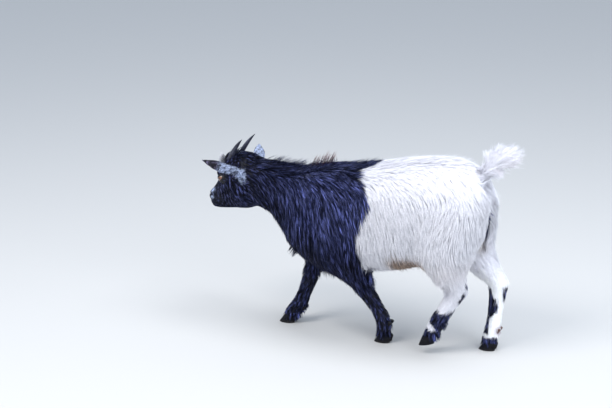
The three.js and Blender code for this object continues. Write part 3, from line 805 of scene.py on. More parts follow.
def combed_paths(skin, roots, normals, numbers, links, stray, hug, even):
    """The middle line of every tuft, from root to tip, along the skin at the coat's height."""
    lie, lengths, depths = coat_at(roots)
    lengths = lengths * numbers.uniform(0.72, 1.12, len(roots))
    swing = numbers.normal(0, stray, len(roots)) + 0.08 * ragged(roots / MM, 30, 11)
    rise = depths * numbers.uniform(even, 1.03, len(roots))
    loose = (numbers.random(len(roots)) < LOOSE) * numbers.uniform(3, 9, len(roots)) * MM
    loose = loose * smooth(20 * MM, 40 * MM, lengths)
    path = np.empty((len(roots), links + 1, 3))
    path[:, 0] = roots - normals * ROOT_DEPTH
    place, heading = roots.copy(), None
    for link in range(1, links + 1):
        along = unit(lie - normals * (lie * normals).sum(axis=1, keepdims=True) * 0.9)
        along = turned_about(along, normals, swing)
        heading = along if heading is None else unit(hug * along + (1 - hug) * heading)
        place = place + heading * (lengths / links)[:, None]
        spots, faces, shares = skin.nearest(place)
        normals = skin.normal_at(faces, shares)
        height = ((place - spots) * normals).sum(axis=1)
        wanted = rise * (link / links) ** 0.75 + loose * (link / links) ** 2
        lift = np.where(height < wanted, wanted - height, (wanted - height) * hug)
        place = place + normals * lift[:, None]
        path[:, link] = place
        lie = coat_at(place)[0]
    return path


def gathered(path, roots, numbers, tufts_in_lock, pull):
    """Neighbouring tufts drawn together into locks, most at their tips."""
    leaders = numbers.choice(len(roots), max(1, len(roots) // tufts_in_lock), replace=False)
    tree = KDTree(len(leaders))
    for i, leader in enumerate(leaders):
        tree.insert(roots[leader], i)
    tree.balance()
    lock = np.array([tree.find(root)[1] for root in roots.tolist()])
    lead = path[leaders][lock]
    along = np.linspace(0, 1, path.shape[1])[None, :, None]
    share = pull * numbers.uniform(0.6, 1.1, len(roots))[:, None, None] * along**1.4
    return path + np.clip(share, 0, 0.92) * (lead - path), lock


def tuft_mesh(name, path, outward, width, colour, tip_colour, place_uv, light, numbers):
    """One closed three-sided hair tuft along each path, in one mesh. Light tufts are flatter."""
    count, rings = path.shape[0], path.shape[1] - 1
    ahead = np.diff(path, axis=1)
    tangent = unit(np.concatenate((ahead[:, :1], ahead[:, 1:] + ahead[:, :-1]), axis=1))[:, :rings]
    across = unit(np.cross(tangent, outward[:, None, :]))
    above = np.cross(across, tangent)
    roll = (numbers.normal(0, 0.5, count) * np.where(light, 0.2, 1.0))[:, None, None]
    across, above = (
        across * np.cos(roll) + above * np.sin(roll),
        above * np.cos(roll) - across * np.sin(roll),
    )
    taper = np.interp(np.linspace(0, 1, rings + 1)[:rings], (0, 0.35, 0.75, 1), (0.8, 1.0, 0.72, 0.2))
    half = width[:, None, None] * taper[None, :, None] / 2
    aside, crown = across * half, above * half * np.where(light, 0.15, 0.6)[:, None, None]
    middles = path[:, :rings]
    below = middles - crown * 0.4
    corners = np.stack((below - aside, below + aside, middles + crown), axis=2)
    each = rings * 3 + 1
    points = np.concatenate((corners.reshape(count, rings * 3, 3), path[:, rings:]), axis=1)
    faces = [(0, 2, 1)]
    for first in range(0, rings * 3, 3):
        for side in range(3):
            a, b = first + side, first + (side + 1) % 3
            faces += [(a, b, b + 3), (a, b + 3, a + 3)] if first + 3 < rings * 3 else [(a, b, each - 1)]
    corner = (np.array(faces)[None] + each * np.arange(count)[:, None, None]).ravel()
    mesh = bpy.data.meshes.new(name)
    mesh.vertices.add(count * each)
    write(mesh.vertices, "co", points)
    mesh.loops.add(len(corner))
    write(mesh.loops, "vertex_index", corner, np.int32)
    mesh.polygons.add(len(corner) // 3)
    write(mesh.polygons, "loop_start", np.arange(0, len(corner), 3), np.int32)
    mesh.update(calc_edges=True)
    mesh.polygons.foreach_set("use_smooth", np.repeat(~light, len(faces)))
    # Each tuft is a small patch at its root's place on the skin's unwrap.
    around = np.append(np.tile((0.15, 0.5, 0.85), rings), 0.5) - 0.5
    along = np.append(np.repeat(np.arange(rings) / rings, 3), 1.0)
    patch = np.column_stack((around, along - 0.5)) * PATCH
    uv = (place_uv[:, None, :] + patch[None]).reshape(-1, 2)[corner]
    write(mesh.uv_layers.new(name="OFBake").data, "uv", uv)
    share = along[None, :, None] ** 1.5
    shade = np.ones((count, each, 4))
    shade[:, :, :3] = colour[:, None, :] * (1 - share) + tip_colour[:, None, :] * share
    store(mesh, "coat_colour", "FLOAT_COLOR", "color", shade)
    store(mesh, "along", "FLOAT", "value", np.tile(along, count))
    return mesh


def unwrapped(mesh):
    """A plain copy of the skin with its own unwrap: its triangles, their places and their map."""
    copy = with_modifier(mesh.copy(), "DECIMATE", ratio=0.12)
    holder = shown("unwrap", copy)
    bpy.context.view_layer.objects.active = holder
    holder.select_set(True)
    bpy.ops.object.mode_set(mode="EDIT")
    bpy.ops.mesh.select_all(action="SELECT")
    bpy.ops.uv.smart_project(angle_limit=math.radians(72), island_margin=0.003)
    bpy.ops.object.mode_set(mode="OBJECT")
    plain = Skin(copy)
    flat = read(copy.uv_layers.active.data, "uv", 2)
    loops = read(copy.loop_triangles, "loops", 3, int)
    bpy.data.objects.remove(holder)
    return plain, flat[loops]


def map_places(plain, flat, places):
    _, faces, shares = plain.nearest(places)
    found = (flat[faces] * shares[:, :, None]).sum(axis=1)
    return np.clip(found, PATCH, 1 - PATCH)


# ---------------------------------------------------------------- materials
def plug(tree, node, sockets):
    """Links the sockets given as outputs, and sets the others' values."""
    for key, value in sockets.items():
        if hasattr(value, "node"):
            tree.links.new(value, node.inputs[key])
        else:
            node.inputs[key].default_value = value


def adder(tree, prefix):
    """A helper that adds a node of a kind, with its sockets and its own settings."""

    def add(kind, sockets=None, **values):
        new = tree.nodes.new(prefix + kind)
        for key, value in values.items():
            setattr(new, key, value)
        plug(tree, new, sockets or {})
        return new

    return add


def material(name, **settings):
    """Two helpers: one adds a node to a new material, and one joins nodes to its shader and returns it."""
    made = bpy.data.materials.new(name)
    made.use_nodes = True
    shader = made.node_tree.nodes["Principled BSDF"]

    def finish(**sockets):
        plug(made.node_tree, shader, {key.replace("_", " "): value for key, value in sockets.items()})
        return made

    finish(**settings)
    return adder(made.node_tree, "ShaderNode"), finish


def stored(node, name, output):
    return node("Attribute", attribute_name=name).outputs[output]


def calc(node, operation, *terms):
    return node("Math", dict(enumerate(terms)), operation=operation).outputs[0]


def noise(node, places, scale, detail):
    return node("TexNoise", {"Vector": places, "Scale": scale, "Detail": detail}).outputs["Fac"]


def ranged(node, value, to_low, to_high, low=0.0, high=1.0):
    sockets = {"Value": value, "From Min": low, "From Max": high, "To Min": to_low, "To Max": to_high}
    return node("MapRange", sockets).outputs[0]


def scaled(node, colour, share):
    return node("VectorMath", {0: colour, "Scale": share}, operation="SCALE").outputs[0]


def blend(node, share, first, second, **values):
    return node("Mix", {"Factor": share, 6: first, 7: second}, data_type="RGBA", **values).outputs[2]


def ramp(node, share, *stops):
    """A colour ramp between two stops, each a position and a colour."""
    made = node("ValToRGB", {"Fac": share})
    for element, (position, colour) in zip(made.color_ramp.elements, stops):
        element.position, element.color = position, (*colour, 1)
    return made.outputs["Color"]


def bump(node, height, strength, depth):
    return node("Bump", {"Strength": strength, "Distance": depth * MM, "Height": height}).outputs[0]


def hair(name, root_shade, tip_shade, **settings):
    """Hair that is a little darker at its root, as painted shade among the hairs, with fine streaks."""
    node, finish = material(name, **settings)
    shade = ranged(node, stored(node, "along", "Fac"), root_shade, tip_shade)
    fine = noise(node, node("TexCoord").outputs["Object"], 260.0, 2.0)
    streaked = calc(node, "MULTIPLY", shade, ranged(node, fine, 0.9, 1.08, 0.3, 0.7))
    return finish(Base_Color=scaled(node, stored(node, "coat_colour", "Color"), streaked))


dark_hair = hair(
    "black hair", 0.4, 1.3, Roughness=0.3, Specular_IOR_Level=0.42, Specular_Tint=(0.55, 0.66, 1.0, 1.0)
)
deep_hair = hair("deep black hair", 0.3, 1.2, Roughness=0.4, Specular_IOR_Level=0.1)
light_hair = hair("white hair", 0.94, 1.04, Roughness=0.65, Specular_IOR_Level=0.3, Sheen_Weight=0.2)


# ---------------------------------------------------------------- the pieces of the coat
def part_of(forward_from, forward_to, side=0):
    def inside(points):
        here = goat_places(points)
        found = (here[:, 0] >= forward_from) & (here[:, 0] < forward_to)
        return found & (here[:, 1] * side >= 0) if side else found

    return inside


LONG_FROM, SHORT_BELOW = 30 * MM, 12.5 * MM


def long_hair(points):
    return coat_at(points)[1] >= LONG_FROM


def middling_hair(points):
    length = coat_at(points)[1]
    return (length >= SHORT_BELOW) & (length < LONG_FROM)


def short_hair(points):
    return coat_at(points)[1] < SHORT_BELOW


def strand_colours(places, lock, numbers):
    """The markings, with black hair uneven from strand to strand and white hair hardly at all."""
    colour = marking(places)
    # Black hair's lighter strands are partly its own tone and partly painted sheen.
    spread = np.interp(colour.max(axis=1), (0.10, 0.20, 0.40, 0.58), (1.15, 0.55, 0.40, 0.02))
    tone = 0.65 * numbers.normal(size=len(places)) + 0.4 * numbers.normal(size=lock.max() + 1)[lock]
    # Streaks stretched up and down are painted sheen, strongest on the face.
    face = smooth(15, 40, head_places(places)[:, 0])
    tone += (0.75 + 0.9 * face) * ragged(places / MM * (1, 1, 0.22), 1.9, 12)
    return np.clip(colour * np.exp(spread * np.clip(tone, -2.5, 2.0))[:, None], 0, 0.95)


def coat_piece(name, roots, normals, path, colour, tip_colour, width, numbers):
    amount = len(roots)
    thick = width * MM * numbers.uniform(0.75, 1.2, amount)
    place_uv = map_places(*unwrap, roots)
    brightest = colour.max(axis=1)
    light = brightest > PALE
    mesh = tuft_mesh(name, path, normals, thick, colour, tip_colour, place_uv, light, numbers)
    for kind in (deep_hair, dark_hair, light_hair):
        mesh.materials.append(kind)
    kinds = (brightest > DEEP).astype(np.int32) + light
    mesh.polygons.foreach_set("material_index", np.repeat(kinds, len(mesh.polygons) // amount))
    made = shown(name, mesh)
    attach(made, "root")


def tufts(name, skin, where, amount, links, width, in_lock, pull, stray, hug, even, seed):
    """A piece of the coat that lies along the body."""
    numbers = np.random.default_rng(seed)
    faces, shares, roots = skin.scatter(amount, numbers, where)
    normals = skin.normal_at(faces, shares)
    path = combed_paths(skin, roots, normals, numbers, links, stray, hug, even)
    path, lock = gathered(path, roots, numbers, in_lock, pull)
    colour = strand_colours((path[:, 0] + path[:, -1]) / 2, lock, numbers)
    coat_piece(name, roots, normals, path, colour, colour, width, numbers)


def bare(points):
    """1 where no hair grows: the tail's brush has its own, and the eyes, nose and lips have none."""
    here, head = goat_places(points), head_places(points)
    eyes = np.maximum(*(1 - smooth(14, 16, near_eye(points, side)[0] / MM) for side in (1, -1)))
    nose = smooth(0.35, 0.6, blob(head, (184, 0, 26), (12, 14, 12)))
    tail = smooth(8, 16, (here - np.array(TAIL[0])) @ np.array((-0.75, 0, 0.66))) * (here[:, 0] < -262)
    return np.clip(np.maximum(np.maximum(eyes, nose), tail), 0, 1)


skin = Skin(skin_mesh)
unwrap = unwrapped(skin_mesh)
LONG = {
    "coat_neck": (part_of(215, 900), 11500),
    "coat_shoulder_left": (part_of(70, 215, 1), 9700),
    "coat_shoulder_right": (part_of(70, 215, -1), 9700),
    "coat_side_left": (part_of(-110, 70, 1), 8800),
    "coat_side_right": (part_of(-110, 70, -1), 8800),
    "coat_quarter_left": (part_of(-900, -110, 1), 9500),
    "coat_quarter_right": (part_of(-900, -110, -1), 9500),
}
# Width in millimetres, tufts in a lock and their pull, stray, hug and evenness.
DARK_LIE = (1.3, 5, 0.5, 0.07, 0.75, 0.62)
WHITE_LIE = (1.5, 4, 0.24, 0.055, 0.85, 0.86)
LEG_LIE = (1.4, 5, 0.4, 0.11, 0.85, 0.68)
FACE_LIE = (1.0, 4, 0.35, 0.14, 0.9, 0.68)


def both(first, second):
    return lambda points: first(points) * second(points) * (1 - bare(points))


def everywhere(points):
    return np.ones(len(points))


def thicker_on_cheeks(points):
    return 1 + smooth(0, 30, head_places(points)[:, 0])


for seed, (name, (where, amount)) in enumerate(LONG.items()):
    black = "neck" in name or "shoulder" in name
    tufts(name, skin, both(where, long_hair), amount, 3, *(DARK_LIE if black else WHITE_LIE), 20 + seed)
tufts("coat_legs", skin, both(thicker_on_cheeks, middling_hair), 15000, 2, *LEG_LIE, 40)
tufts("coat_face", skin, both(everywhere, short_hair), 17500, 2, *FACE_LIE, 41)

# Hair that stands off the body. Each row is a place and the size of its patch, the way it grows, how it
# bends, its shortest and longest hair, how many tufts, how far they spread, and the colour of their ends
# where that isn't the coat's.
FRINGES = {
    "withers": ((172, 0, 462), (38, 12, 26), (-0.1, 0, 1), (-0.3, 0, 0), 30, 54, 90, 0.16, RUST),
    "crest": ((250, 0, 455), (70, 14, 26), (-0.5, 0, 0.85), (-0.5, 0, 0), 22, 38, 300, 0.24),
    "back": ((70, 0, 474), (60, 16, 26), (-0.7, 0, 0.7), (-0.5, 0, 0), 26, 38, 110, 0.2),
    "loin": ((-120, 0, 500), (110, 22, 30), (-0.8, 0, 0.6), (-0.4, 0, -0.1), 28, 42, 230, 0.2),
    "breast": ((222, 62, 246), (12, 18, 12), (0.6, 0, -0.9), (0, 0, 0), 28, 44, 60, 0.08),
    "brisket": ((160, 0, 196), (30, 36, 16), (-0.2, 0, -1), (0, 0, 0), 30, 54, 200, 0.12),
    "elbow_left": ((8, 66, 190), (16, 28, 20), (-0.3, 0.1, -0.95), (0, 0, -0.1), 20, 32, 170, 0.16),
    "elbow_right": ((160, -86, 205), (18, 20, 22), (-0.6, -0.15, -0.7), (-0.2, 0, 0.1), 28, 44, 110, 0.2),
    "belly": ((-30, 0, 194), (90, 60, 14), (-0.4, 0, -0.9), (-0.2, 0, 0), 18, 30, 160, 0.2),
    "rump": ((-296, -20, 402), (14, 34, 40), (-0.5, -0.1, -0.8), (-0.1, 0, -0.3), 20, 32, 70, 0.16),
    "thigh": ((-290, -60, 262), (14, 22, 30), (-0.6, 0, -0.75), (-0.1, 0, -0.2), 20, 34, 60, 0.16),
    "stifle_left": ((-196, 88, 246), (18, 28, 26), (0.05, 0.04, -1), (-0.15, 0, -0.2), 18, 30, 260, 0.12),
    "hock_right": ((-322, -57, 194), (8, 12, 12), (-0.55, 0, -0.8), (0, 0, -0.1), 12, 20, 40, 0.16),
    "under_tail": ((-302, 0, 498), (12, 16, 14), (-0.75, 0, -0.4), (-0.1, 0, -0.2), 16, 27, 160, 0.2),
    "dock": ((-277, 6, 499), (17, 24, 18), (-0.35, 0, 1), (-0.2, 0, 0), 26, 40, 380, 0.18),
}
FOOT_FRINGES = {}
for name, line in LEGS.items():
    coronet, fetlock = Vector(line[-1]), Vector(line[-2]) + Vector((-15, 0, -2))
    FOOT_FRINGES[f"{name}_coronet"] = (coronet, (30, 26, 10), (0, 0, -1), (0, 0, -0.3), 10, 18, 260, 0.16)
    FOOT_FRINGES[f"{name}_fetlock"] = (fetlock, (12, 22, 12), (-0.2, 0, -1), (0, 0, -0.2), 9, 15, 90, 0.16)
HEAD_FRINGES = {
    "forelock": ((83, 13, 104), (10, 13, 10), (0.2, 0.1, 1), (-0.2, 0, 0), 13, 23, 300, 0.14, WHITE),
    "poll": ((34, 0, 122), (22, 24, 10), (-0.6, 0, 0.8), (-0.5, 0, -0.2), 14, 24, 70, 0.25),
    "horn_base": ((52, 22, 108), (13, 12, 9), (-0.9, 0.1, 0.3), (-0.2, 0, 0), 6, 10, 90, 0.2),
    "horn_base_far": ((52, -22, 108), (13, 12, 9), (-0.9, -0.1, 0.3), (-0.2, 0, 0), 6, 10, 90, 0.2),
    "ear_base": (
        (12, 48, 58), (10, 14, 17), (-0.3, 0.5, -0.8), (0, -0.2, -0.3), 8, 15, 120, 0.3, SILVER * 1.3,
    ),
    "ear_base_far": (
        (12, -48, 58), (10, 14, 17), (-0.3, -0.5, -0.8), (0, 0.2, -0.3), 8, 15, 90, 0.3, SILVER,
    ),
}


def flying_paths(roots, ways, bends, lengths, links):
    t = np.linspace(0, 1, links + 1)[None, :, None]
    return roots[:, None] + lengths[:, None, None] * (ways[:, None] * t + bends[:, None] * t * t)


def fringe(skin, row, places_of, way_of, numbers, outward=0.15):
    """Roots, normals, paths and colours of one patch of hair that stands off the body."""
    place, size, heading, bend, shortest, longest, amount, spread, *tip = row

    def patch(points):
        share = blob(places_of(points), place, size)
        return smooth(0.15, 0.6, share / share.max())

    faces, shares, roots = skin.scatter(amount, numbers, patch)
    normals = skin.normal_at(faces, shares)
    ways = unit(np.array(way_of(*heading)) + numbers.normal(0, spread, (amount, 3)) + outward * normals)
    bends = np.tile(np.array(way_of(*bend)) * Vector(bend).length, (amount, 1))
    lengths = numbers.uniform(shortest, longest, amount) * MM
    path = flying_paths(roots - normals * ROOT_DEPTH, ways, bends, lengths, 3)
    path, lock = gathered(path, roots, numbers, 6, 0.6)
    path[:, :, 2] = np.maximum(path[:, :, 2], 1.5 * MM)
    colour = strand_colours(path[:, 1], lock, numbers)
    tips = np.clip(np.tile(tip[0], (amount, 1)), 0, 0.9) if tip else colour
    return roots, normals, path, colour, tips


def brush(skin, amount, numbers):
    """The tail's hair. It stands up at the root and fans out to straight back past the end of the flesh."""
    along = np.array(way(*(Vector(TAIL[2]) - Vector(TAIL[1]))))
    start = np.array(at(*TAIL[0]))
    flesh = 60 * MM

    def inside(points):
        thinner = 1.6 - np.clip((points - start) @ along / flesh, 0, 1)
        return thinner * (bare(points) > 0.5) * (goat_places(points)[:, 0] < -240)

    faces, shares, roots = skin.scatter(amount, numbers, inside)
    normals = skin.normal_at(faces, shares)
    past = (roots - start) @ along / flesh
    fan = np.clip(past, 0, 1) * 0.9 + numbers.normal(0, 0.26, amount)
    turns = np.interp(fan, (-0.4, 0.0, 1.0, 1.6), (-0.25, 0.0, 1.3, 2.2))  # radians back from straight up
    ways = np.column_stack((numbers.normal(0, 0.16, amount), np.sin(turns), np.cos(turns)))
    ways = unit(ways + normals * 0.12)
    bends = np.tile((0, 0.04, 0.02), (amount, 1))
    reach = np.interp(turns, (-0.2, 0.3, 0.9, 1.5, 2.1), (46, 50, 60, 52, 40))
    lengths = numbers.uniform(0.55, 1.16, amount) * reach * MM
    path = flying_paths(roots - normals * ROOT_DEPTH, ways, bends, lengths, 3)
    path, lock = gathered(path, roots, numbers, 16, 0.8)
    colour = strand_colours(roots, lock, numbers)
    return roots, normals, path, colour, colour


standing = np.random.default_rng(60)
patches = [fringe(skin, row, goat_places, way, standing) for row in FRINGES.values()]
patches += [fringe(skin, row, goat_places, way, standing, 0.5) for row in FOOT_FRINGES.values()]
patches += [fringe(skin, row, head_places, head_way, standing) for row in HEAD_FRINGES.values()]
roots, normals, path, colour, tips = (np.concatenate(rows) for rows in zip(*patches))
coat_piece("coat_fringes", roots, normals, path, colour, tips, 1.3, standing)
coat_piece("coat_tail", *brush(skin, 2600, np.random.default_rng(61)), 1.2, standing)


# ---------------------------------------------------------------- skin piece
def inside_ears(points, normals):
    """1 on the skin that lines the ears' openings."""
    found = np.zeros(len(points))
    here = head_places(points)
    for row in EARS.values():
        own = here[:, 1] * row["side"] > 0
        found = np.maximum(found, own * smooth(0.1, 0.5, normals @ np.array(way(*row["opening"]))))
    return found * ear_share(points)


def bare_skin():
    """The skin's material: matt under the coat and slightly moist on the nose, lips and lids."""
    node, finish = material("skin", Specular_IOR_Level=0.4)
    hairless = stored(node, "hairless", "Fac")
    places = node("TexCoord").outputs["Object"]
    fur = noise(node, places, 900.0, 3.0)
    pores = node("TexVoronoi", {"Vector": places, "Scale": 700.0}).outputs["Distance"]
    rough = node("Mix", {"Factor": hairless, 2: fur, 3: pores}, data_type="FLOAT").outputs[0]
    tone = ranged(node, fur, 0.7, 1.2, 0.3, 0.7)
    return finish(
        Base_Color=scaled(node, stored(node, "coat_colour", "Color"), tone),
        Roughness=ranged(node, hairless, 0.7, 0.38),
        Normal=bump(node, rough, 0.5, 0.4),
    )


skin_points, skin_normals = points_of(skin_mesh), normals_of(skin_mesh)
lining = inside_ears(skin_points, skin_normals)[:, None]
under_coat = marking(skin_points)
# The skin under black hair is darker, partly its own dark skin and partly painted shade in the gaps between
# tufts.
under_coat *= np.interp(under_coat.max(axis=1), (0.1, 0.6), (0.4, 1.0))[:, None]
skin_tone = under_coat * (1 - lining) + PINK * lining
hairless = bare(skin_points) * (head_places(skin_points)[:, 0] > 40)
skin_tone = skin_tone * (1 - 0.6 * hairless[:, None])
skin_tone = np.column_stack((skin_tone, np.ones(len(skin_tone))))
store(skin_mesh, "coat_colour", "FLOAT_COLOR", "color", skin_tone)
store(skin_mesh, "hairless", "FLOAT", "value", hairless)
skin_mesh.materials.clear()
skin_mesh.materials.append(bare_skin())
skin_mesh.shade_smooth()
skin_piece = shown("skin", skin_mesh)
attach(skin_piece, "root")
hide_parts(*FLESH)


# ---------------------------------------------------------------- eyes
def eye_gloss():
    """A brown eye with a level slit pupil, under a clear wet coat, from each point's place on the ball."""
    node, finish = material("eye", Roughness=0.3, Coat_Weight=1.0, Coat_Roughness=0.03)
    gaze = stored(node, "gaze", "Vector")
    parts = node("SeparateXYZ", {0: gaze}).outputs

    def oval(width, height, exponent, low, high):
        powers = []
        for part, size in ((parts[0], width), (parts[1], height)):
            flat = calc(node, "ABSOLUTE", calc(node, "MULTIPLY", part, 1 / size))
            powers.append(calc(node, "POWER", flat, exponent))
        return ranged(node, calc(node, "ADD", *powers), 0.0, 1.0, low, high)

    flecks = noise(node, gaze, 9.0, 6.0)
    iris = ramp(node, flecks, (0.35, (0.07, 0.022, 0.010)), (0.65, (0.34, 0.13, 0.045)))
    around = blend(node, oval(0.66, 0.66, 2.0, 0.6, 1.1), iris, (0.012, 0.008, 0.007, 1))
    pupil = oval(0.42, 0.13, 3.0, 0.8, 1.2)
    return finish(Base_Color=blend(node, pupil, (0.001, 0.001, 0.0015, 1), around))


def eyeball(side, gloss):
    centre, out, along, over = eye_frame(side)
    bm = bmesh.new()
    bmesh.ops.create_uvsphere(bm, u_segments=64, v_segments=48, radius=1)
    mesh = bpy.data.meshes.new("eyeball")
    bm.to_mesh(mesh)
    gaze = points_of(mesh)
    bulge = 1 + 0.05 * smooth(0.70, 0.86, gaze[:, 2])
    axes = np.array((along, over, out))
    move_to(mesh, np.array(centre) + (gaze @ axes) * bulge[:, None] * EYE["radius"] * MM)
    bm.clear()
    bm.from_mesh(mesh)
    bmesh.ops.recalc_face_normals(bm, faces=bm.faces)
    bm.to_mesh(mesh)
    bm.free()
    store(mesh, "gaze", "FLOAT_VECTOR", "vector", gaze)
    mesh.materials.append(gloss)
    mesh.shade_smooth()
    return mesh


wet = eye_gloss()
for name, side in (("left", 1), ("right", -1)):
    ball = shown(f"eyeball_{name}", eyeball(side, wet))
    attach(ball, "root")
    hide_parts(f"eye_{name}")


# ---------------------------------------------------------------- horns
HORN = {
    "root": (57, 21, 105), "sunk": 10, "length": 90, "radius": 7.4,
    "rise": 0.9, "sweep": 0.34, "outward": 0.08,
}


def grown_from(tree, name, values):
    """A plain mesh from a tree, with its inputs set by their identifiers."""
    holder = shown(name, bpy.data.meshes.new(name))
    grown = holder.modifiers.new("grown", "NODES")
    grown.node_group = tree
    for item in tree.interface.items_tree:
        if item.in_out == "INPUT" and item.name in values:
            grown[item.identifier] = values[item.name]
    holder.update_tag()
    return evaluated(holder)


def horn_tree():
    """A tapered sweep with raised rings that fade towards the tip."""
    tree = bpy.data.node_groups.new("ringed horn", "GeometryNodeTree")
    for label, kind, value in (
        ("Start", "Vector", None), ("Middle", "Vector", None), ("End", "Vector", None),
        ("Root Radius", "Float", 0.011), ("Section", "Float", 0.82), ("Taper", "Float", 3.0),
        ("Rings", "Float", 13.0), ("Ring Height", "Float", 0.0007), ("Material", "Material", None),
    ):
        socket = tree.interface.new_socket(label, in_out="INPUT", socket_type=f"NodeSocket{kind}")
        if value is not None:
            socket.default_value = value
    tree.interface.new_socket("Geometry", in_out="OUTPUT", socket_type="NodeSocketGeometry")
    given = tree.nodes.new("NodeGroupInput").outputs
    node, maths = adder(tree, "GeometryNode"), adder(tree, "ShaderNode")
    ends = {end: given[end] for end in ("Start", "Middle", "End")}
    curve = node("CurveQuadraticBezier", {"Resolution": 96, **ends}).outputs[0]
    along = node("SplineParameter").outputs["Factor"]
    painted_light_and_taper = calc(maths, "MULTIPLY", calc(maths, "POWER", along, given["Taper"]), 0.93)
    radius = calc(maths, "MULTIPLY", calc(maths, "SUBTRACT", 1.0, painted_light_and_taper), given["Root Radius"])
    sized = node("SetCurveRadius", {"Curve": curve, "Radius": radius}).outputs[0]
    named = node("StoreNamedAttribute", {"Geometry": sized, "Name": "along", "Value": along}).outputs[0]
    circle = node("CurvePrimitiveCircle", {"Resolution": 32, "Radius": 1.0}).outputs[0]
    narrow = maths("CombineXYZ", {0: 1.0, 1: given["Section"], 2: 1.0}).outputs[0]
    profile = node("Transform", {"Geometry": circle, "Scale": narrow}).outputs[0]
    sweep = node("CurveToMesh", {"Curve": named, "Profile Curve": profile, "Fill Caps": True})
    if "Scale" in sweep.inputs:
        tree.links.new(radius, sweep.inputs["Scale"])
    way_out = node("InputNamedAttribute", {"Name": "along"}).outputs[0]
    places = node("InputPosition").outputs[0]
    grain = maths("TexNoise", {"Vector": places, "Scale": 70.0, "Detail": 2.0}).outputs[0]
    phase = calc(maths, "ADD", way_out, calc(maths, "MULTIPLY", grain, 0.035))
    turns = calc(maths, "MULTIPLY", calc(maths, "MULTIPLY", phase, given["Rings"]), math.pi)
    wave = calc(maths, "POWER", calc(maths, "ABSOLUTE", calc(maths, "SINE", turns)), 0.6)
    fade = calc(maths, "SUBTRACT", 1.0, calc(maths, "POWER", way_out, 1.5))
    height = calc(maths, "MULTIPLY", calc(maths, "MULTIPLY", wave, fade), given["Ring Height"])
    raised = scaled(maths, node("InputNormal").outputs[0], height)
    formed = node("SetPosition", {"Geometry": sweep.outputs[0], "Offset": raised}).outputs[0]
    soft = node("SetShadeSmooth", {"Geometry": formed}).outputs[0]
    real = node("RealizeInstances", {"Geometry": soft}).outputs[0]
    finished = node("SetMaterial", {"Geometry": real, "Material": given["Material"]}).outputs[0]
    tree.links.new(finished, tree.nodes.new("NodeGroupOutput").inputs[0])
    return tree


def horn_finish():
    """Dark horn, cloudy and fibrous, that is darker towards the tip."""
    node, finish = material("horn", Specular_IOR_Level=0.5)
    places = node("TexCoord").outputs["Object"]
    cloud, fibres = noise(node, places, 60.0, 5.0), noise(node, places, 420.0, 3.0)
    half = calc(node, "MULTIPLY", calc(node, "ADD", cloud, fibres), 0.5)
    shade = ramp(node, half, (0.38, (0.010, 0.011, 0.022)), (0.66, (0.080, 0.085, 0.130)))
    tipped = blend(node, stored(node, "along", "Fac"), shade, (0.5, 0.5, 0.56, 1), blend_type="MULTIPLY")
    return finish(
        Base_Color=tipped, Roughness=ranged(node, fibres, 0.3, 0.6), Normal=bump(node, half, 0.4, 0.3)
    )


def horn_line(side):
    """Both ends and the bend of a horn's middle line. It starts inside the skull."""
    root = Vector(HORN["root"])
    root.y *= side

    def lean(angle):
        return Vector((-math.sin(angle), side * HORN["outward"], math.cos(angle))).normalized()

    first, last = lean(HORN["rise"]), lean(HORN["rise"] + HORN["sweep"])
    half = HORN["length"] / 2
    return root - first * HORN["sunk"], root + first * half, root + (first + last) * half


rings, ringed = horn_tree(), horn_finish()
for name, side in (("left", 1), ("right", -1)):
    start, bend, end = (on_head(*place) for place in horn_line(side))
    given = {"Start": start, "Middle": bend, "End": end, "Material": ringed}
    given["Root Radius"] = HORN["radius"] * MM
    horn = shown(f"ringed_horn_{name}", grown_from(rings, f"horn {name}", given))
    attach(horn, "root")
    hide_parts(f"horn_{name}")


# ---------------------------------------------------------------- hooves
def hoof_finish(name, dark, pale):
    """Hoof horn with fine growth rings, dusty at the ground."""
    node, finish = material(name, Specular_IOR_Level=0.12)
    places = node("TexCoord").outputs["Object"]
    waves = {"Vector": places, "Scale": 90.0, "Distortion": 4.0, "Detail": 2.0}
    growth = node("TexWave", waves, bands_direction="Z").outputs["Fac"]
    cloud = noise(node, places, 120.0, 5.0)
    dust = ranged(node, node("SeparateXYZ", {0: places}).outputs[2], 0.0, 1.0, 0.008, -0.004)
    shade = ramp(node, cloud, (0.35, dark), (0.75, pale))
    return finish(
        Base_Color=blend(node, calc(node, "MULTIPLY", dust, cloud), shade, (0.05, 0.044, 0.042, 1)),
        Roughness=ranged(node, cloud, 0.35, 0.65),
        Normal=bump(node, growth, 0.35, 0.3),
    )


def rounded(node_name, swell=0.6):
    """A finer copy of a claw: its walls are round, and its sole keeps a crisp rim."""
    bm = bmesh.new()
    bm.from_mesh(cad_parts[node_name].data)
    bmesh.ops.remove_doubles(bm, verts=bm.verts, dist=1e-5)
    bm.normal_update()
    for vert in bm.verts:
        vert.co += vert.normal * swell * MM
    for vert in bm.verts:
        vert.co.z = max(vert.co.z, 0)
    crease = bm.edges.layers.float.new("crease_edge")
    for edge in bm.edges:
        if len(edge.link_faces) == 2 and edge.calc_face_angle() > math.radians(48):
            edge[crease] = 0.75
    mesh = bpy.data.meshes.new(node_name)
    bm.to_mesh(mesh)
    bm.free()
    mesh = with_modifier(mesh, "SUBSURF", levels=3, render_levels=3)
    mesh.shade_smooth()
    return mesh


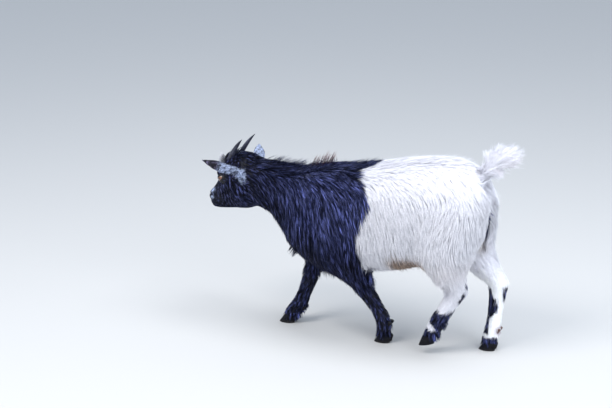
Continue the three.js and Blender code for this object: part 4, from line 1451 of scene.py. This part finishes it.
hoof_horn = hoof_finish("hoof", (0.003, 0.003, 0.005), (0.011, 0.011, 0.014))
brown_horn = hoof_finish("brown dewclaw", (0.06, 0.030, 0.024), (0.22, 0.14, 0.12))
for node_name in [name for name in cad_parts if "claw" in name]:
    mesh = rounded(node_name)
    mesh.materials.clear()
    mesh.materials.append(brown_horn if "hindleg_right_dewclaw" in node_name else hoof_horn)
    claw = shown(f"fine_{node_name}", mesh)
    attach(claw, "root")
    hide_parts(node_name)


# ---------------------------------------------------------------- stage
floor_mesh = bpy.data.meshes.new("floor")
wide = 14  # metres from the middle to each side
corners = [(-wide, -wide, 0), (wide, -wide, 0), (wide, wide, 0), (-wide, wide, 0)]
floor_mesh.from_pydata(corners, [], [(0, 1, 2, 3)])
floor = shown("floor", floor_mesh)
_, floor_paint = material("floor", Base_Color=(0.52, 0.515, 0.51, 1), Roughness=0.85)
floor_mesh.materials.append(floor_paint())

bpy.context.scene.view_settings.view_transform = "Standard"
studio = bpy.data.worlds.new("studio")
bpy.context.scene.world = studio
studio.use_nodes = True
sky = {"Color": (0.76, 0.86, 1.0, 1), "Strength": 0.93}
plug(studio.node_tree, studio.node_tree.nodes["Background"], sky)


def lamp(name, place, aim, size, power, colour):
    light = bpy.data.lights.new(name, "AREA")
    light.energy, light.size, light.color = power, size, colour
    made = shown(name, light)
    made.location = place
    made.rotation_mode = "QUATERNION"
    made.rotation_quaternion = (Vector(aim) - Vector(place)).to_track_quat("-Z", "Y")
    return made


aim = (0, 0, 0.3)
lamp("key", (2.2, -1.2, 3.2), aim, 1.6, 92, (1.0, 0.97, 0.93))
lamp("top", (0.2, 1.2, 3.4), aim, 2.0, 80, (0.94, 0.97, 1.0))
lamp("fill", (2.2, 2.9, 1.9), aim, 2.4, 66, (0.90, 0.94, 1.0))

# ---------------------------------------------------------------- camera
# A walker's height, off the goat's left hip, looking a little down on it.
camera_data = bpy.data.cameras.new("camera")
camera = shown("camera", camera_data)
camera_data.sensor_width = 36
camera_data.lens = 98.28
camera.location = at(-1436.5, 3946.7, 1600)
turn, down = math.radians(-157.306), math.radians(-16.28)
looking = Vector((math.cos(turn) * math.cos(down), math.sin(turn) * math.cos(down), math.sin(down)))
camera.rotation_mode = "QUATERNION"
camera.rotation_quaternion = looking.to_track_quat("-Z", "Y")
bpy.context.scene.camera = camera
